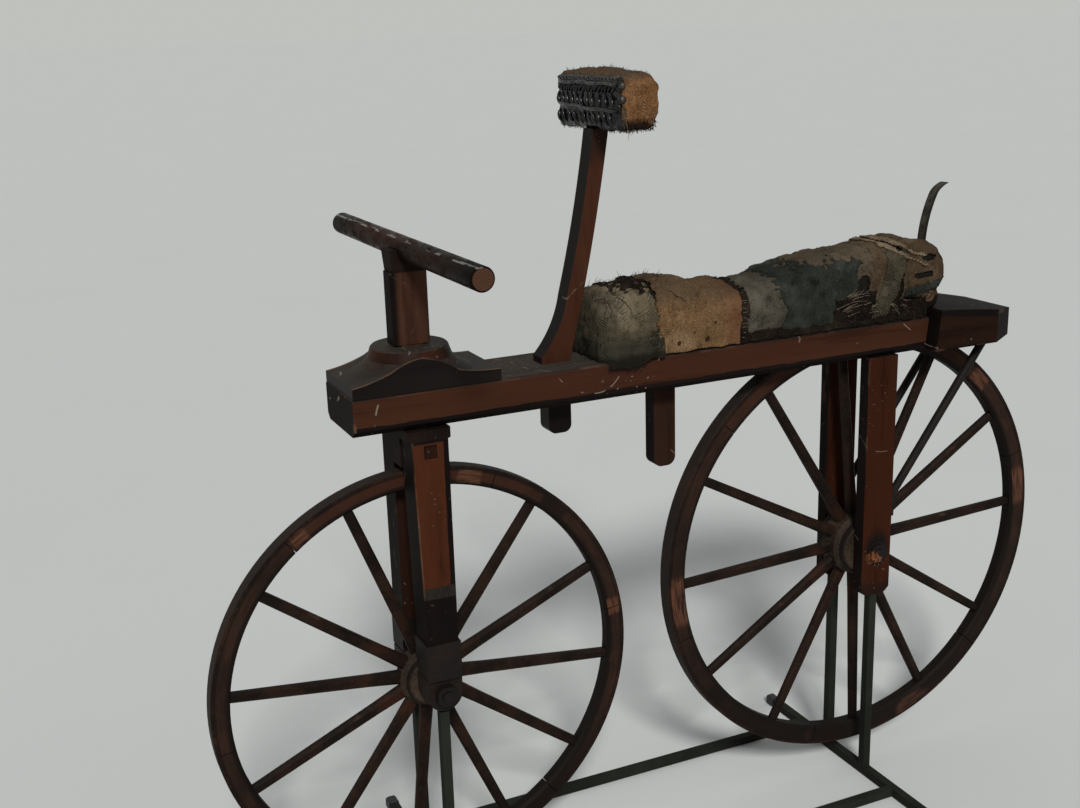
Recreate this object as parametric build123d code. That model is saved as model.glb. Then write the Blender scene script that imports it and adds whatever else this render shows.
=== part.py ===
from build123d import *
import math
import os

# A wooden running machine (draisine) of about 1820 on its steel display stand.
# The origin is on the floor, midway between the two wheels' outer ends.
# X runs along the machine, +X to its rear; +Y is its right side; +Z is up. Millimetres.

os.makedirs("parts", exist_ok=True)

# Wheels and where they stand
wheelbase = 722.0
front_wheel_r = 303.0
rear_wheel_r = 345.0
wheel_lift = 29.0
seat_wheel_gap = 17.0
spoke_count = 12
felloe_count = 6
felloe_gap = 1.2
tyre_t = 5.0
tyre_edge = 1.0
front_felloe_depth = 22.0
rear_felloe_depth = 26.0
front_rim_w = 22.0
rear_rim_w = 24.0
felloe_chamfer = 4.0
spoke_chamfer = 4.0
spoke_socket = 8.0
spoke_root_w = 19.0
spoke_root_t = 16.0
spoke_waist = 42.0
spoke_waist_w = 16.5
spoke_waist_t = 14.0
spoke_tip_w = 14.0
spoke_tip_t = 12.0
spoke_trim = 1.0

# Axles, hubs and nuts
axle_d = 16.0
hub_play = 0.6
front_hub_r = 43.0
rear_hub_r = 50.0
hub_side_gap = 3.0
hub_shoulder = 8.0
hub_nose_len = 11.0
hub_nose_edge = 2.0
hub_ring_w = 7.0
hub_ring_t = 2.5
nut_flats = 28.0
nut_corner = 7.0
front_nut_t = 11.0
rear_nut_t = 6.0
axle_end = 3.0
front_first_spoke = 6.5
rear_first_spoke = -2.0
front_spoke_strays = {11: 2.5}
rear_spoke_strays = {0: -4.0, 1: -2.0, 4: 5.5, 5: 4.5}

# The long beam, slotted at its rear for the wheel
beam_w = 116.0
beam_h = 50.0
beam_front_overhang = 98.0
beam_rear_overhang = 145.0
wheel_slot_w = 44.0
wheel_slot_play = 10.0
beam_edge = 3.0
beam_low_edge = 8.0

# Tail block that ties the two prongs of the beam
tail_w = 168.0
tail_front = 76.0
tail_rake = 8.0
tail_rear = 246.0
tail_roof = 15.0
tail_fall = 19.5
tail_crown = 2.2
tail_floor = 3.0
tail_corner_x = 53.0
tail_corner_y = 34.0

# Steering: carved bolster, post, crown, legs and handlebar
bolster_front = 97.0
bolster_rear = 104.0
bolster_edge_h = 14.0
bolster_front_hollow = 1.8
bolster_front_knee = -44.0
bolster_front_knee_h = 28.5
bolster_crest_round = 2.3
bolster_crest = -6.0
bolster_crest_h = 42.0
bolster_rear_round = 4.1
bolster_rear_knee = 46.0
bolster_rear_knee_h = 20.5
bolster_rear_hollow = 1.6
bolster_tongue_h = 15.0
boss_d = 102.0
boss_h = 50.0
boss_edge = 2.0
boss_waist_h = 35.0
boss_waist_out = 4.5
boss_swell = 13.0
boss_swell_h = 25.5
boss_flare = 30.0
boss_flare_h = 17.0
steering_play = 1.0
crown_gap = 2.0
shank_d = 40.0
post_x = 50.0
post_y = 32.0
post_top_above_beam = 146.0
post_edge = 4.0
neck_inset = 3.0
handlebar_len = 530.0
handlebar_d = 30.0
handlebar_edge = 2.0
handlebar_above_post = 29.0
crown_plate_x = 60.0
crown_plate_y = 122.0
crown_plate_t = 14.0
crown_block_x = 54.0
crown_block_h = 44.0
crown_wheel_gap = 8.0
leg_outer_top = 61.0
leg_outer_foot = 72.0
leg_inner_top = 18.0
leg_inner_foot = 30.0
leg_top_w = 50.0
leg_low_w = 42.0
shoe_top_above_axle = 75.0
shoe_low_above_axle = 23.0
shoe_wall = 2.5
foot_r = 25.0
foot_recess = 4.0
hub_room = 8.0
peg_side = 15.0
peg_out = 2.0
peg_drop = 15.0
crown_corner = 4.0

# Rear fork legs and their iron stays
rear_leg_outer = 58.0
rear_leg_t = 20.0
rear_leg_w = 53.0
rear_leg_below_axle = 70.0
rear_leg_corner = 8.0
washer_d = 36.0
washer_t = 2.0
stay_d = 13.0
stay_y = 50.0
stay_foot_above_axle = 84.0
stay_top_x = 200.0
stay_over = 30.0
stay_eye_h = 30.0
stay_eye_t = 5.0

# Arm rest post and pad, hanging tongue
arm_t = 28.0
arm_foot_front = -540.0
arm_foot_rear = -498.0
arm_toe_h = 9.0
arm_toe_hollow = 6.5
arm_neck_front = -500.0
arm_neck_h = 88.0
arm_front_bow = 3.3
arm_rear_bow = 4.4
arm_top_front = -456.0
arm_top_rear = -433.0
arm_top_h = 308.0
arm_toe = 8.0
arm_tongue_drop = 50.0
arm_tongue_round = 11.0
pad_depth = 58.0
pad_w = 182.0
pad_h = 74.0
pad_round = 6.0
pad_back_round = 20.0
tongue_front = -367.0
tongue_w = 35.0
tongue_t = 24.0
tongue_drop = 126.0
tongue_round = 13.0

# Seat: a thin board over the slot and the long cushion on it
board_t = 10.0
board_w = 112.0
board_front = -462.0
board_rear = 78.0
cushion_front = -466.0
cushion_rear = 104.0
cushion_end_h = 60.0
cushion_nose_round = 11.8
cushion_nose = -430.0
cushion_nose_h = 90.0
cushion_fore_bulge = 10.5
cushion_waist_front = -300.0
cushion_waist_rear = -190.0
cushion_waist_h = 85.0
cushion_waist_dip = 5.0
cushion_rear_bulge = 5.8
cushion_crown = 20.0
cushion_crown_h = 114.0
cushion_rear_round = 25.0
cushion_corner = 22.0
cushion_w = 124.0
cushion_gap = 0.6

# Old leather strap behind the cushion
strap_foot = 106.0
strap_foot_drop = 6.0
strap_foot_bow = 2.0
strap_mid = 108.0
strap_mid_h = 107.0
strap_mid_bow = 3.8
strap_bend = 128.0
strap_bend_h = 179.0
strap_tip_bow = 1.8
strap_tip = 148.0
strap_tip_h = 192.0
strap_taper_h = 112.0
strap_w = 16.0
strap_t = 3.0

# Display stand of square steel bar
bar = 13.0
cap_over = 2.0
cap_len = 22.0
cap_corner = 3.0
stand_half_w = 212.0
long_bar_y = 122.0
front_upright_y = 55.0
rear_upright_y = 48.0
foot_gap = 5.0

# Places worked out from the values above: the stand lifts the lower wheel clear of the floor
rear_x = (wheelbase + front_wheel_r - rear_wheel_r) / 2
front_x = rear_x - wheelbase
front_axle_drop = crown_gap + crown_plate_t + crown_block_h + crown_wheel_gap + front_wheel_r
rear_axle_drop = rear_wheel_r + seat_wheel_gap - beam_h
beam_z0 = wheel_lift + max(front_axle_drop + front_wheel_r, rear_axle_drop + rear_wheel_r)
beam_z1 = beam_z0 + beam_h
front_axle_z = beam_z0 - front_axle_drop
rear_axle_z = beam_z0 - rear_axle_drop
beam_x0 = front_x - beam_front_overhang
beam_x1 = rear_x + beam_rear_overhang
floor_bar_top = cap_over + bar


def block(x0, x1, y0, y1, z0, z1):
    """A box between three pairs of limits."""
    size = Box(x1 - x0, y1 - y0, z1 - z0)
    return Pos((x0 + x1) / 2, (y0 + y1) / 2, (z0 + z1) / 2) * size


def turned(points, x, z):
    """A solid of revolution about a wheel's axle; points are (radius, place along the axle)."""
    outline = Plane.XY * make_face(Polyline([(r, y) for r, y in points], close=True))
    return Pos(x, 0, z) * revolve(outline, Axis.Y, 360)


def side_plate(outline, y0, y1):
    """A face drawn in X and Z, thickened from y0 to y1."""
    return Pos(0, y1, 0) * extrude(Plane.XZ * outline, y1 - y0)


def save(shape, name):
    """Writes one piece, or several like pieces on one body, under its node name."""
    shape.label = name
    export_step(shape, "parts/" + name + ".step")


def round_bar(start, end, diameter):
    """A straight round bar between two points."""
    line = Line(start, end)
    return sweep(Plane(origin=start, z_dir=line % 0) * Circle(diameter / 2), line)


# Wheels: tyre, six felloes, twelve tapered spokes and a turned hub
def wheel_pieces(name, x, z, wheel_r, rim_w, felloe_depth, hub_r, hub_half, first_spoke, strays):
    half = rim_w / 2
    felloe_r = wheel_r - tyre_t
    felloe_in = felloe_r - felloe_depth
    tyre = turned(
        [
            (felloe_r, -half),
            (wheel_r - tyre_edge, -half),
            (wheel_r, -half + tyre_edge),
            (wheel_r, half - tyre_edge),
            (wheel_r - tyre_edge, half),
            (felloe_r, half),
        ],
        x,
        z,
    )
    save(tyre, name + "_iron_tyre")

    ring = turned(
        [
            (felloe_r, -half),
            (felloe_r, half),
            (felloe_in + felloe_chamfer, half),
            (felloe_in, half - felloe_chamfer),
            (felloe_in, felloe_chamfer - half),
            (felloe_in + felloe_chamfer, -half),
        ],
        x,
        z,
    )
    joint_step = 360 / felloe_count
    spoke_step = 360 / spoke_count
    gap = Box(felloe_gap, rim_w * 2, felloe_depth * 3)
    felloes = ring
    for i in range(felloe_count):
        angle = first_spoke + spoke_step / 2 + i * joint_step
        felloes -= Pos(x, 0, z) * Rot(0, angle, 0) * Pos(0, 0, felloe_in + felloe_depth / 2) * gap
    save(felloes, name + "_felloes")

    # Turned wooden hub with an iron band on each nose: (radius, place along the axle)
    bore_r = axle_d / 2 + hub_play
    nose_r = hub_r - hub_shoulder
    side = [
        (nose_r - hub_nose_edge, hub_half),
        (nose_r, hub_half - hub_nose_edge),
        (nose_r, hub_half - hub_nose_len),
        (hub_r, hub_half - hub_nose_len - hub_shoulder),
    ]
    outline = [(bore_r, hub_half)] + side + [(r, -y) for r, y in reversed(side)] + [(bore_r, -hub_half)]
    hub = turned(outline, x, z)
    bands = []
    for end in (-1, 1):
        y_in = end * (hub_half - hub_nose_len)
        y_out = y_in + end * hub_ring_w
        ring_r = nose_r + hub_ring_t
        bands.append(turned([(nose_r, y_in), (ring_r, y_in), (ring_r, y_out), (nose_r, y_out)], x, z))
    save(hub, name + "_hub")
    save(Compound(children=bands), name + "_hub_bands")

    # Spokes: (radius from the axle, width around the wheel, thickness along the axle)
    spoke_table = [
        (hub_r - spoke_socket, spoke_root_w, spoke_root_t),
        (hub_r + spoke_waist, spoke_waist_w, spoke_waist_t),
        (felloe_in + spoke_trim, spoke_tip_w, spoke_tip_t),
    ]
    sections = []
    for r, w, t in spoke_table:
        face = chamfer(Rectangle(w, t).vertices(), spoke_chamfer * t / spoke_root_t)
        sections.append(Plane(origin=(0, 0, r), x_dir=(1, 0, 0), z_dir=(0, 0, 1)) * face)
    blank = loft(sections[:2], ruled=True) + loft(sections[1:], ruled=True)
    spokes = []
    trim_out = turned([(felloe_in, -half), (felloe_r, -half), (felloe_r, half), (felloe_in, half)], x, z)
    for i in range(spoke_count):
        angle = first_spoke + i * spoke_step + strays.get(i, 0)
        spoke = Pos(x, 0, z) * Rot(0, angle, 0) * blank
        spoke = spoke - hub - trim_out
        spokes.append(spoke)
    save(Compound(children=spokes), name + "_spokes")


front_hub_half = leg_inner_foot - hub_side_gap
rear_hub_half = rear_leg_outer - rear_leg_t - hub_side_gap
wheel_pieces(
    "front_wheel", front_x, front_axle_z, front_wheel_r, front_rim_w, front_felloe_depth,
    front_hub_r, front_hub_half, front_first_spoke, front_spoke_strays,
)
wheel_pieces(
    "rear_wheel", rear_x, rear_axle_z, rear_wheel_r, rear_rim_w, rear_felloe_depth,
    rear_hub_r, rear_hub_half, rear_first_spoke, rear_spoke_strays,
)


def axle(x, z, reach):
    return Pos(x, 0, z) * Rot(90, 0, 0) * Cylinder(axle_d / 2, 2 * reach)


def nut(x, y, z, side, thickness):
    """A square nut with its corners taken off, on the axle's end, its inner face at y."""
    body = chamfer(Box(nut_flats, thickness, nut_flats).edges().filter_by(Axis.Y), nut_corner)
    return Pos(x, y + side * thickness / 2, z) * body - axle(x, z, abs(y) + 2 * thickness)


# Front fork: crown plate under the beam, crown block, two splayed legs in iron shoes
crown_top = beam_z0 - crown_gap
leg_top = crown_top - crown_plate_t
shank = Pos(front_x, 0, 0) * Cylinder(shank_d / 2, 4 * beam_z1)
half_x = crown_plate_x / 2
half_y = crown_plate_y / 2
crown_plate = block(front_x - half_x, front_x + half_x, -half_y, half_y, leg_top, crown_top)
crown_plate = chamfer(crown_plate.edges().filter_by(Axis.Z), crown_corner)
crown_block = block(
    front_x - crown_block_x / 2, front_x + crown_block_x / 2, -leg_inner_top, leg_inner_top,
    leg_top - crown_block_h, leg_top,
)
save(crown_plate, "fork_crown_plate")
save(crown_block, "fork_crown_block")


def leg_length(side, z_top, z_low, extra):
    """A length of the tapered, splayed front leg, made larger on its four sides by extra."""
    along = []
    across = []
    for z in (z_top, z_low):
        t = (leg_top - z) / (leg_top - front_axle_z)
        half_w = (leg_top_w + (leg_low_w - leg_top_w) * t) / 2 + extra
        y_in = leg_inner_top + (leg_inner_foot - leg_inner_top) * t - extra
        y_out = leg_outer_top + (leg_outer_foot - leg_outer_top) * t + extra
        along.append([(-half_w, z), (half_w, z)])
        across.append([(side * y_in, z), (side * y_out, z)])
    from_side = make_face(Polyline(along[0] + along[1][::-1], close=True))
    from_front = make_face(Polyline(across[0] + across[1][::-1], close=True))
    length = side_plate(from_side, -2 * leg_outer_foot, 2 * leg_outer_foot)
    length &= extrude(Plane.YZ * from_front, 2 * leg_top_w, both=True)
    return Pos(front_x, 0, 0) * length


shoe_top = front_axle_z + shoe_top_above_axle
shoe_low = front_axle_z + shoe_low_above_axle
for side, word in ((-1, "left"), (1, "right")):
    wood = leg_length(side, leg_top, shoe_low, 0)
    peg_end = side * (leg_outer_top + peg_out)
    peg_root = side * leg_outer_top
    peg = block(
        front_x - peg_side / 2, front_x + peg_side / 2, min(peg_root, peg_end), max(peg_root, peg_end),
        leg_top - peg_drop - peg_side / 2, leg_top - peg_drop + peg_side / 2,
    )
    leg = wood + peg
    clad = leg_length(side, shoe_top, shoe_low, shoe_wall) - wood
    y_a = side * leg_inner_foot
    y_b = side * (leg_outer_foot - foot_recess)
    eye = Pos(front_x, (y_a + y_b) / 2, front_axle_z) * Rot(90, 0, 0) * Cylinder(foot_r, abs(y_b - y_a))
    web = block(
        front_x - foot_r, front_x + foot_r, min(y_a, y_b), max(y_a, y_b), front_axle_z, shoe_low
    )
    hub_space = Cylinder(front_hub_r + hub_room, 2 * leg_inner_foot)
    shoe = clad + (eye + web - wood) - Pos(front_x, 0, front_axle_z) * Rot(90, 0, 0) * hub_space
    shoe -= axle(front_x, front_axle_z, 2 * leg_outer_foot)
    save(leg, "fork_leg_" + word)
    save(shoe, "fork_shoe_" + word)

front_nut_y = leg_outer_foot - foot_recess
front_axle = axle(front_x, front_axle_z, front_nut_y + front_nut_t + axle_end)
save(front_axle, "front_axle")
front_nuts = [nut(front_x, side * front_nut_y, front_axle_z, side, front_nut_t) for side in (-1, 1)]
save(Compound(children=front_nuts), "front_axle_nuts")

# Steering post with its round shank through bolster and beam, neck and handlebar
boss_top = beam_z1 + boss_h
post_low = boss_top + crown_gap
post_top = beam_z1 + post_top_above_beam
post = block(front_x - post_x / 2, front_x + post_x / 2, -post_y / 2, post_y / 2, post_low, post_top)
post = chamfer(post.edges().filter_by(Axis.Z), post_edge)
post += Pos(front_x, 0, (crown_top + post_low) / 2) * Cylinder(shank_d / 2, post_low - crown_top)
save(post, "steering_post")

bar_z = post_top + handlebar_above_post
handlebar = Pos(front_x, 0, bar_z) * Rot(90, 0, 0) * Cylinder(handlebar_d / 2, handlebar_len)
handlebar = chamfer(handlebar.edges(), handlebar_edge)
neck_side = Polyline(
    [
        (front_x - post_x / 2 + neck_inset, post_top),
        (front_x + post_x / 2 - neck_inset, post_top),
        (front_x + post_x / 2, bar_z),
        (front_x - post_x / 2, bar_z),
    ],
    close=True,
)
neck = side_plate(make_face(neck_side), -post_y / 2, post_y / 2) - handlebar
save(neck, "handlebar_neck")
save(handlebar, "handlebar")

# Beam: one long rail, slotted from below to above round the rear wheel
slot_reach = math.sqrt((rear_wheel_r + wheel_slot_play) ** 2 - rear_axle_drop**2)
half_beam = beam_w / 2
half_slot = wheel_slot_w / 2
beam = block(beam_x0, beam_x1, -half_beam, half_beam, beam_z0, beam_z1)
beam_edges = beam.edges().filter_by(Axis.X).group_by(Axis.Z)
beam = chamfer(beam_edges[-1], beam_edge)
beam = chamfer(beam.edges().filter_by(Axis.X).group_by(Axis.Z)[0], beam_low_edge)
beam -= block(rear_x - slot_reach, beam_x1 + 1, -half_slot, half_slot, beam_z0 - 1, beam_z1 + 1)
steering_bore = Pos(front_x, 0, beam_z1) * Cylinder(shank_d / 2 + steering_play, 4 * beam_h)
arm_tongue_x0 = rear_x + arm_foot_front + arm_toe
arm_tongue_x1 = rear_x + arm_foot_rear
arm_mortise = block(arm_tongue_x0, arm_tongue_x1, -arm_t / 2, arm_t / 2, beam_z0 - 1, beam_z1 + 1)
tongue_x = rear_x + tongue_front
tongue_mortise = block(
    tongue_x, tongue_x + tongue_w, -tongue_t / 2, tongue_t / 2, beam_z0 - 1, beam_z1 + 1
)
beam = beam - steering_bore - arm_mortise - tongue_mortise
save(beam, "beam")

def arcs_along(places, x_more=0):
    """Arcs through places; each is (x, height, how far the arc to the next one bulges)."""
    line = []
    for (x0, h0, bulge), (x1, h1, _) in zip(places, places[1:]):
        line.append(SagittaArc((x0 + x_more, h0), (x1 + x_more, h1), bulge))
    return line


# Bolster carved as a saddle, x from the steering axis and height above the beam
profile = arcs_along([
    (-bolster_front, bolster_edge_h, -bolster_front_hollow),
    (bolster_front_knee, bolster_front_knee_h, bolster_crest_round),
    (bolster_crest, bolster_crest_h, bolster_rear_round),
    (bolster_rear_knee, bolster_rear_knee_h, -bolster_rear_hollow),
    (bolster_rear, bolster_tongue_h, 0),
])
profile.append(Line((bolster_rear, bolster_tongue_h), (bolster_rear, 0)))
profile.append(Line((bolster_rear, 0), (-bolster_front, 0)))
profile.append(Line((-bolster_front, 0), (-bolster_front, bolster_edge_h)))
bolster = Pos(front_x, 0, beam_z1) * side_plate(make_face(profile), -half_beam, half_beam)
boss_r = boss_d / 2
boss_side = Polyline(
    [
        (0, 0),
        (0, boss_h),
        (boss_r - boss_edge, boss_h),
        (boss_r, boss_h - boss_edge),
        (boss_r + boss_waist_out, boss_waist_h),
        (boss_r + boss_swell, boss_swell_h),
        (boss_r + boss_flare, boss_flare_h),
        (boss_r + boss_flare, 0),
    ],
    close=True,
)
boss = Pos(front_x, 0, beam_z1) * revolve(Plane.XZ * make_face(boss_side), Axis.Z, 360)
boss &= block(beam_x0, front_x + bolster_rear, -half_beam, half_beam, beam_z1, boss_top)
bolster = bolster + boss - steering_bore
save(bolster, "steering_bolster")

# Tail block: a wide cap over the two prongs, relieved below for the wheel
half_tail = tail_w / 2
tail_z0 = beam_z0 + tail_floor
tail_z1 = beam_z1 + tail_roof
tail_brow = tail_front + tail_rake
tail_side = [
    Line((tail_front, tail_z0), (tail_brow, tail_z1)),
    SagittaArc((tail_brow, tail_z1), (tail_rear, tail_z1 - tail_fall), tail_crown),
    Line((tail_rear, tail_z1 - tail_fall), (tail_rear, tail_z0)),
    Line((tail_rear, tail_z0), (tail_front, tail_z0)),
]
tail = Pos(rear_x, 0, 0) * side_plate(make_face(tail_side), -half_tail, half_tail)
tail = chamfer(
    tail.edges().filter_by(Axis.Z).group_by(Axis.X)[-1], length=tail_corner_y, length2=tail_corner_x
)
tail -= block(rear_x + tail_front - 1, beam_x1, -half_beam, half_beam, tail_z0 - 1, beam_z1)
relief = Rot(90, 0, 0) * Cylinder(rear_wheel_r + wheel_slot_play, wheel_slot_w)
tail -= Pos(rear_x, 0, rear_axle_z) * relief
save(tail, "tail_block")

# Rear fork legs, axle with washers and nuts, and the iron stays
rear_leg_low = rear_axle_z - rear_leg_below_axle
rear_axle_reach = rear_leg_outer + washer_t + rear_nut_t + axle_end
rear_axle = axle(rear_x, rear_axle_z, rear_axle_reach)
washers = []
rear_nuts = []
for side, word in ((-1, "left"), (1, "right")):
    y_a = side * (rear_leg_outer - rear_leg_t)
    y_b = side * rear_leg_outer
    half_w = rear_leg_w / 2
    leg = block(rear_x - half_w, rear_x + half_w, min(y_a, y_b), max(y_a, y_b), rear_leg_low, beam_z0)
    leg = chamfer(leg.edges().filter_by(Axis.Y).group_by(Axis.Z)[0], rear_leg_corner) - rear_axle
    save(leg, "rear_leg_" + word)
    washer = Rot(90, 0, 0) * Cylinder(washer_d / 2, washer_t)
    washers.append(Pos(rear_x, y_b + side * washer_t / 2, rear_axle_z) * washer - rear_axle)
    rear_nuts.append(nut(rear_x, y_b + side * washer_t, rear_axle_z, side, rear_nut_t))

    foot_z = rear_axle_z + stay_foot_above_axle
    foot_x = rear_x + half_w
    eye = block(
        foot_x, foot_x + stay_eye_t, side * stay_y - stay_d / 2, side * stay_y + stay_d / 2,
        foot_z - stay_eye_h, foot_z + stay_eye_h / 2,
    )
    start = Vector(foot_x + stay_eye_t / 2, side * stay_y, foot_z)
    top = Vector(rear_x + stay_top_x, side * stay_y, tail_z0)
    past = top + (top - start).normalized() * stay_over
    rod = round_bar(start, past, stay_d)
    rod -= block(foot_x - stay_d, foot_x, -half_tail, half_tail, foot_z - stay_eye_h, foot_z + stay_eye_h)
    rod -= block(rear_x, rear_x + 2 * tail_rear, -tail_w, tail_w, tail_z0, tail_z0 + 2 * stay_over)
    save(eye + rod, "rear_stay_" + word)
save(rear_axle, "rear_axle")
save(Compound(children=washers), "rear_axle_washers")
save(Compound(children=rear_nuts), "rear_axle_nuts")

# Arm rest post: a bowed stave tenoned through the beam, with the padded rest on its top
arm_outline = arcs_along([
    (arm_foot_front, arm_toe_h, -arm_toe_hollow),
    (arm_neck_front, arm_neck_h, -arm_front_bow),
    (arm_top_front, arm_top_h, 0),
])
arm_outline += [
    Line((arm_top_front, arm_top_h), (arm_top_rear, arm_top_h)),
    SagittaArc((arm_top_rear, arm_top_h), (arm_foot_rear, 0), arm_rear_bow),
    Line((arm_foot_rear, 0), (arm_foot_front, 0)),
    Line((arm_foot_front, 0), (arm_foot_front, arm_toe_h)),
]
arm_post = Pos(rear_x, 0, beam_z1) * side_plate(make_face(arm_outline), -arm_t / 2, arm_t / 2)
arm_tongue = block(
    arm_tongue_x0, arm_tongue_x1, -arm_t / 2, arm_t / 2, beam_z0 - arm_tongue_drop, beam_z1
)
arm_tongue = fillet(arm_tongue.edges().filter_by(Axis.Y).group_by(Axis.Z)[0], arm_tongue_round)
save(arm_post + arm_tongue, "arm_rest_post")

pad_x = rear_x + arm_top_front
pad_z = beam_z1 + arm_top_h
pad = block(pad_x, pad_x + pad_depth, -pad_w / 2, pad_w / 2, pad_z, pad_z + pad_h)
long_edges = pad.edges().filter_by(Axis.Y).group_by(Axis.X)
pad = fillet(long_edges[-1], pad_back_round)
pad = fillet(pad.edges().filter_by(Axis.Y).group_by(Axis.X)[0], pad_round)
save(pad, "arm_rest_pad")

# A second tongue, pegged through the beam behind the arm rest and hanging below it
tongue = block(tongue_x, tongue_x + tongue_w, -tongue_t / 2, tongue_t / 2, beam_z0 - tongue_drop, beam_z1)
tongue = fillet(tongue.edges().filter_by(Axis.Y).group_by(Axis.Z)[0], tongue_round)
save(tongue, "hanging_tongue")

# Seat board over the slot, and the long cushion that rises to the rear
seat_board = block(
    rear_x + board_front, rear_x + board_rear, -board_w / 2, board_w / 2, beam_z1, beam_z1 + board_t
)
save(seat_board, "seat_board")

cushion_low = board_t
cushion_step = tail_roof + cushion_gap
cushion_outline = arcs_along([
    (cushion_front, cushion_end_h, cushion_nose_round),
    (cushion_nose, cushion_nose_h, cushion_fore_bulge),
    (cushion_waist_front, cushion_waist_h, -cushion_waist_dip),
    (cushion_waist_rear, cushion_waist_h, cushion_rear_bulge),
    (cushion_crown, cushion_crown_h, cushion_rear_round),
    (cushion_rear, cushion_end_h, 0),
])
cushion_outline += [
    Line((cushion_rear, cushion_end_h), (cushion_rear, cushion_step)),
    Line((cushion_rear, cushion_step), (board_rear, cushion_step)),
    Line((board_rear, cushion_step), (board_rear, cushion_low)),
    Line((board_rear, cushion_low), (cushion_front, cushion_low)),
    Line((cushion_front, cushion_low), (cushion_front, cushion_end_h)),
]
cushion = Pos(rear_x, 0, beam_z1) * side_plate(make_face(cushion_outline), -cushion_w / 2, cushion_w / 2)
cushion_len = cushion_rear - cushion_front
cushion_plan = RectangleRounded(cushion_len, cushion_w, cushion_corner)
cushion &= Pos(rear_x + cushion_front + cushion_len / 2, 0, beam_z1) * extrude(cushion_plan, 2 * cushion_w)
save(cushion, "seat_cushion")

# A worn leather strap, nailed to the tail block behind the cushion and dried standing up
strap_foot_h = tail_roof - strap_foot_drop
strap_places = [
    (strap_foot, strap_foot_h, strap_foot_bow),
    (strap_mid, strap_mid_h, strap_mid_bow),
    (strap_bend, strap_bend_h, strap_tip_bow),
    (strap_tip, strap_tip_h, 0),
]
strap_side = arcs_along(strap_places) + arcs_along(strap_places, x_more=strap_t)
strap_side.append(Line((strap_foot, strap_foot_h), (strap_foot + strap_t, strap_foot_h)))
strap_side.append(Line((strap_tip, strap_tip_h), (strap_tip + strap_t, strap_tip_h)))
strap = Pos(rear_x, 0, beam_z1) * side_plate(make_face(strap_side), -strap_w / 2, strap_w / 2)
tongue_half = strap_w / 2
tongue_face = make_face([
    Line((-tongue_half, 0), (tongue_half, 0)),
    Line((tongue_half, 0), (tongue_half, strap_taper_h)),
    ThreePointArc((tongue_half, strap_taper_h), (0, strap_tip_h + 1), (-tongue_half, strap_taper_h)),
    Line((-tongue_half, strap_taper_h), (-tongue_half, 0)),
])
strap &= Pos(rear_x, 0, beam_z1) * extrude(Plane.YZ * tongue_face, 2 * strap_tip, both=True)
save(strap - tail, "seat_strap")

# Display stand: two floor bars across, two along, and an upright under each fork foot
half_bar = bar / 2
cross_bars = []
caps = []
uprights = []
bar_mid = cap_over + half_bar
for x, axle_z, below, upright_y, gap in (
    (front_x, front_axle_z, foot_r, front_upright_y, foot_gap),
    (rear_x, rear_axle_z, rear_leg_below_axle, rear_upright_y, 0),
):
    cross_bars.append(
        block(x - half_bar, x + half_bar, -stand_half_w, stand_half_w, cap_over, floor_bar_top)
    )
    for side in (-1, 1):
        half_cap = half_bar + cap_over
        cap = Box(2 * half_cap, cap_len, 2 * half_cap)
        cap = chamfer(cap.edges(), cap_corner)
        cap = Pos(x, side * stand_half_w, bar_mid) * cap
        caps.append(cap - cross_bars[-1])
        y = side * upright_y
        top = axle_z - below - gap
        uprights.append(
            block(x - half_bar, x + half_bar, y - half_bar, y + half_bar, floor_bar_top, top)
        )
long_bars = [
    block(
        front_x + half_bar, rear_x - half_bar, side * long_bar_y - half_bar, side * long_bar_y + half_bar,
        cap_over, floor_bar_top,
    )
    for side in (-1, 1)
]
save(Compound(children=cross_bars), "stand_cross_bars")
save(Compound(children=caps), "stand_end_caps")
save(Compound(children=long_bars), "stand_long_bars")
save(Compound(children=uprights[:2]), "stand_front_uprights")
save(Compound(children=uprights[2:]), "stand_rear_uprights")
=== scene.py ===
import math
import random

import bpy
import numpy as np
from mathutils import Euler, Matrix, Vector, noise


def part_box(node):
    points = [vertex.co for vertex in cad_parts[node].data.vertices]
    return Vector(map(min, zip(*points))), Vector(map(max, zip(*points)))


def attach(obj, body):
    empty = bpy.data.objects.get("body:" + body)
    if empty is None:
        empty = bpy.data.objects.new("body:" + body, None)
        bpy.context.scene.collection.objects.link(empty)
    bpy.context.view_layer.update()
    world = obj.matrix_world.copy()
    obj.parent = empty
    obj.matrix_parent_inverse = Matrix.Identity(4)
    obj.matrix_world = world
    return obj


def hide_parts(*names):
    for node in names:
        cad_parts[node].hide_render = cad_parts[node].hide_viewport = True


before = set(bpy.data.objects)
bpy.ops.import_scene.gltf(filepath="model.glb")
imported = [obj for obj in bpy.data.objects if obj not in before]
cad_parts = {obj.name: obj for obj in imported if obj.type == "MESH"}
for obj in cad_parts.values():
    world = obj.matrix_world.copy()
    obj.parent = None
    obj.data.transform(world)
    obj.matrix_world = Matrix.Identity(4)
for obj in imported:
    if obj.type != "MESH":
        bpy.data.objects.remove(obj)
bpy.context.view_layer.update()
scene = bpy.context.scene


# The long beam and its tail block: one rail of ash, oil painted red-brown on its sides with its
# lower edge, ends and top in black. Two centuries have dusted the top and chipped the paint.
black_paint = (0.0052, 0.0036, 0.0032)
soot = (0.0115, 0.0078, 0.0068)
brown_paint = (0.0405, 0.015, 0.0082)
grey_dust = (0.06, 0.05, 0.04)
bare_wood = (0.12, 0.062, 0.036)
chip_pale = (0.26, 0.225, 0.18)


def both_ways(operation):
    """An operator and its reflected form, each of which makes one Math node."""
    return lambda a, b: a.math(operation, a, b), lambda a, b: a.math(operation, b, a)


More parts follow.
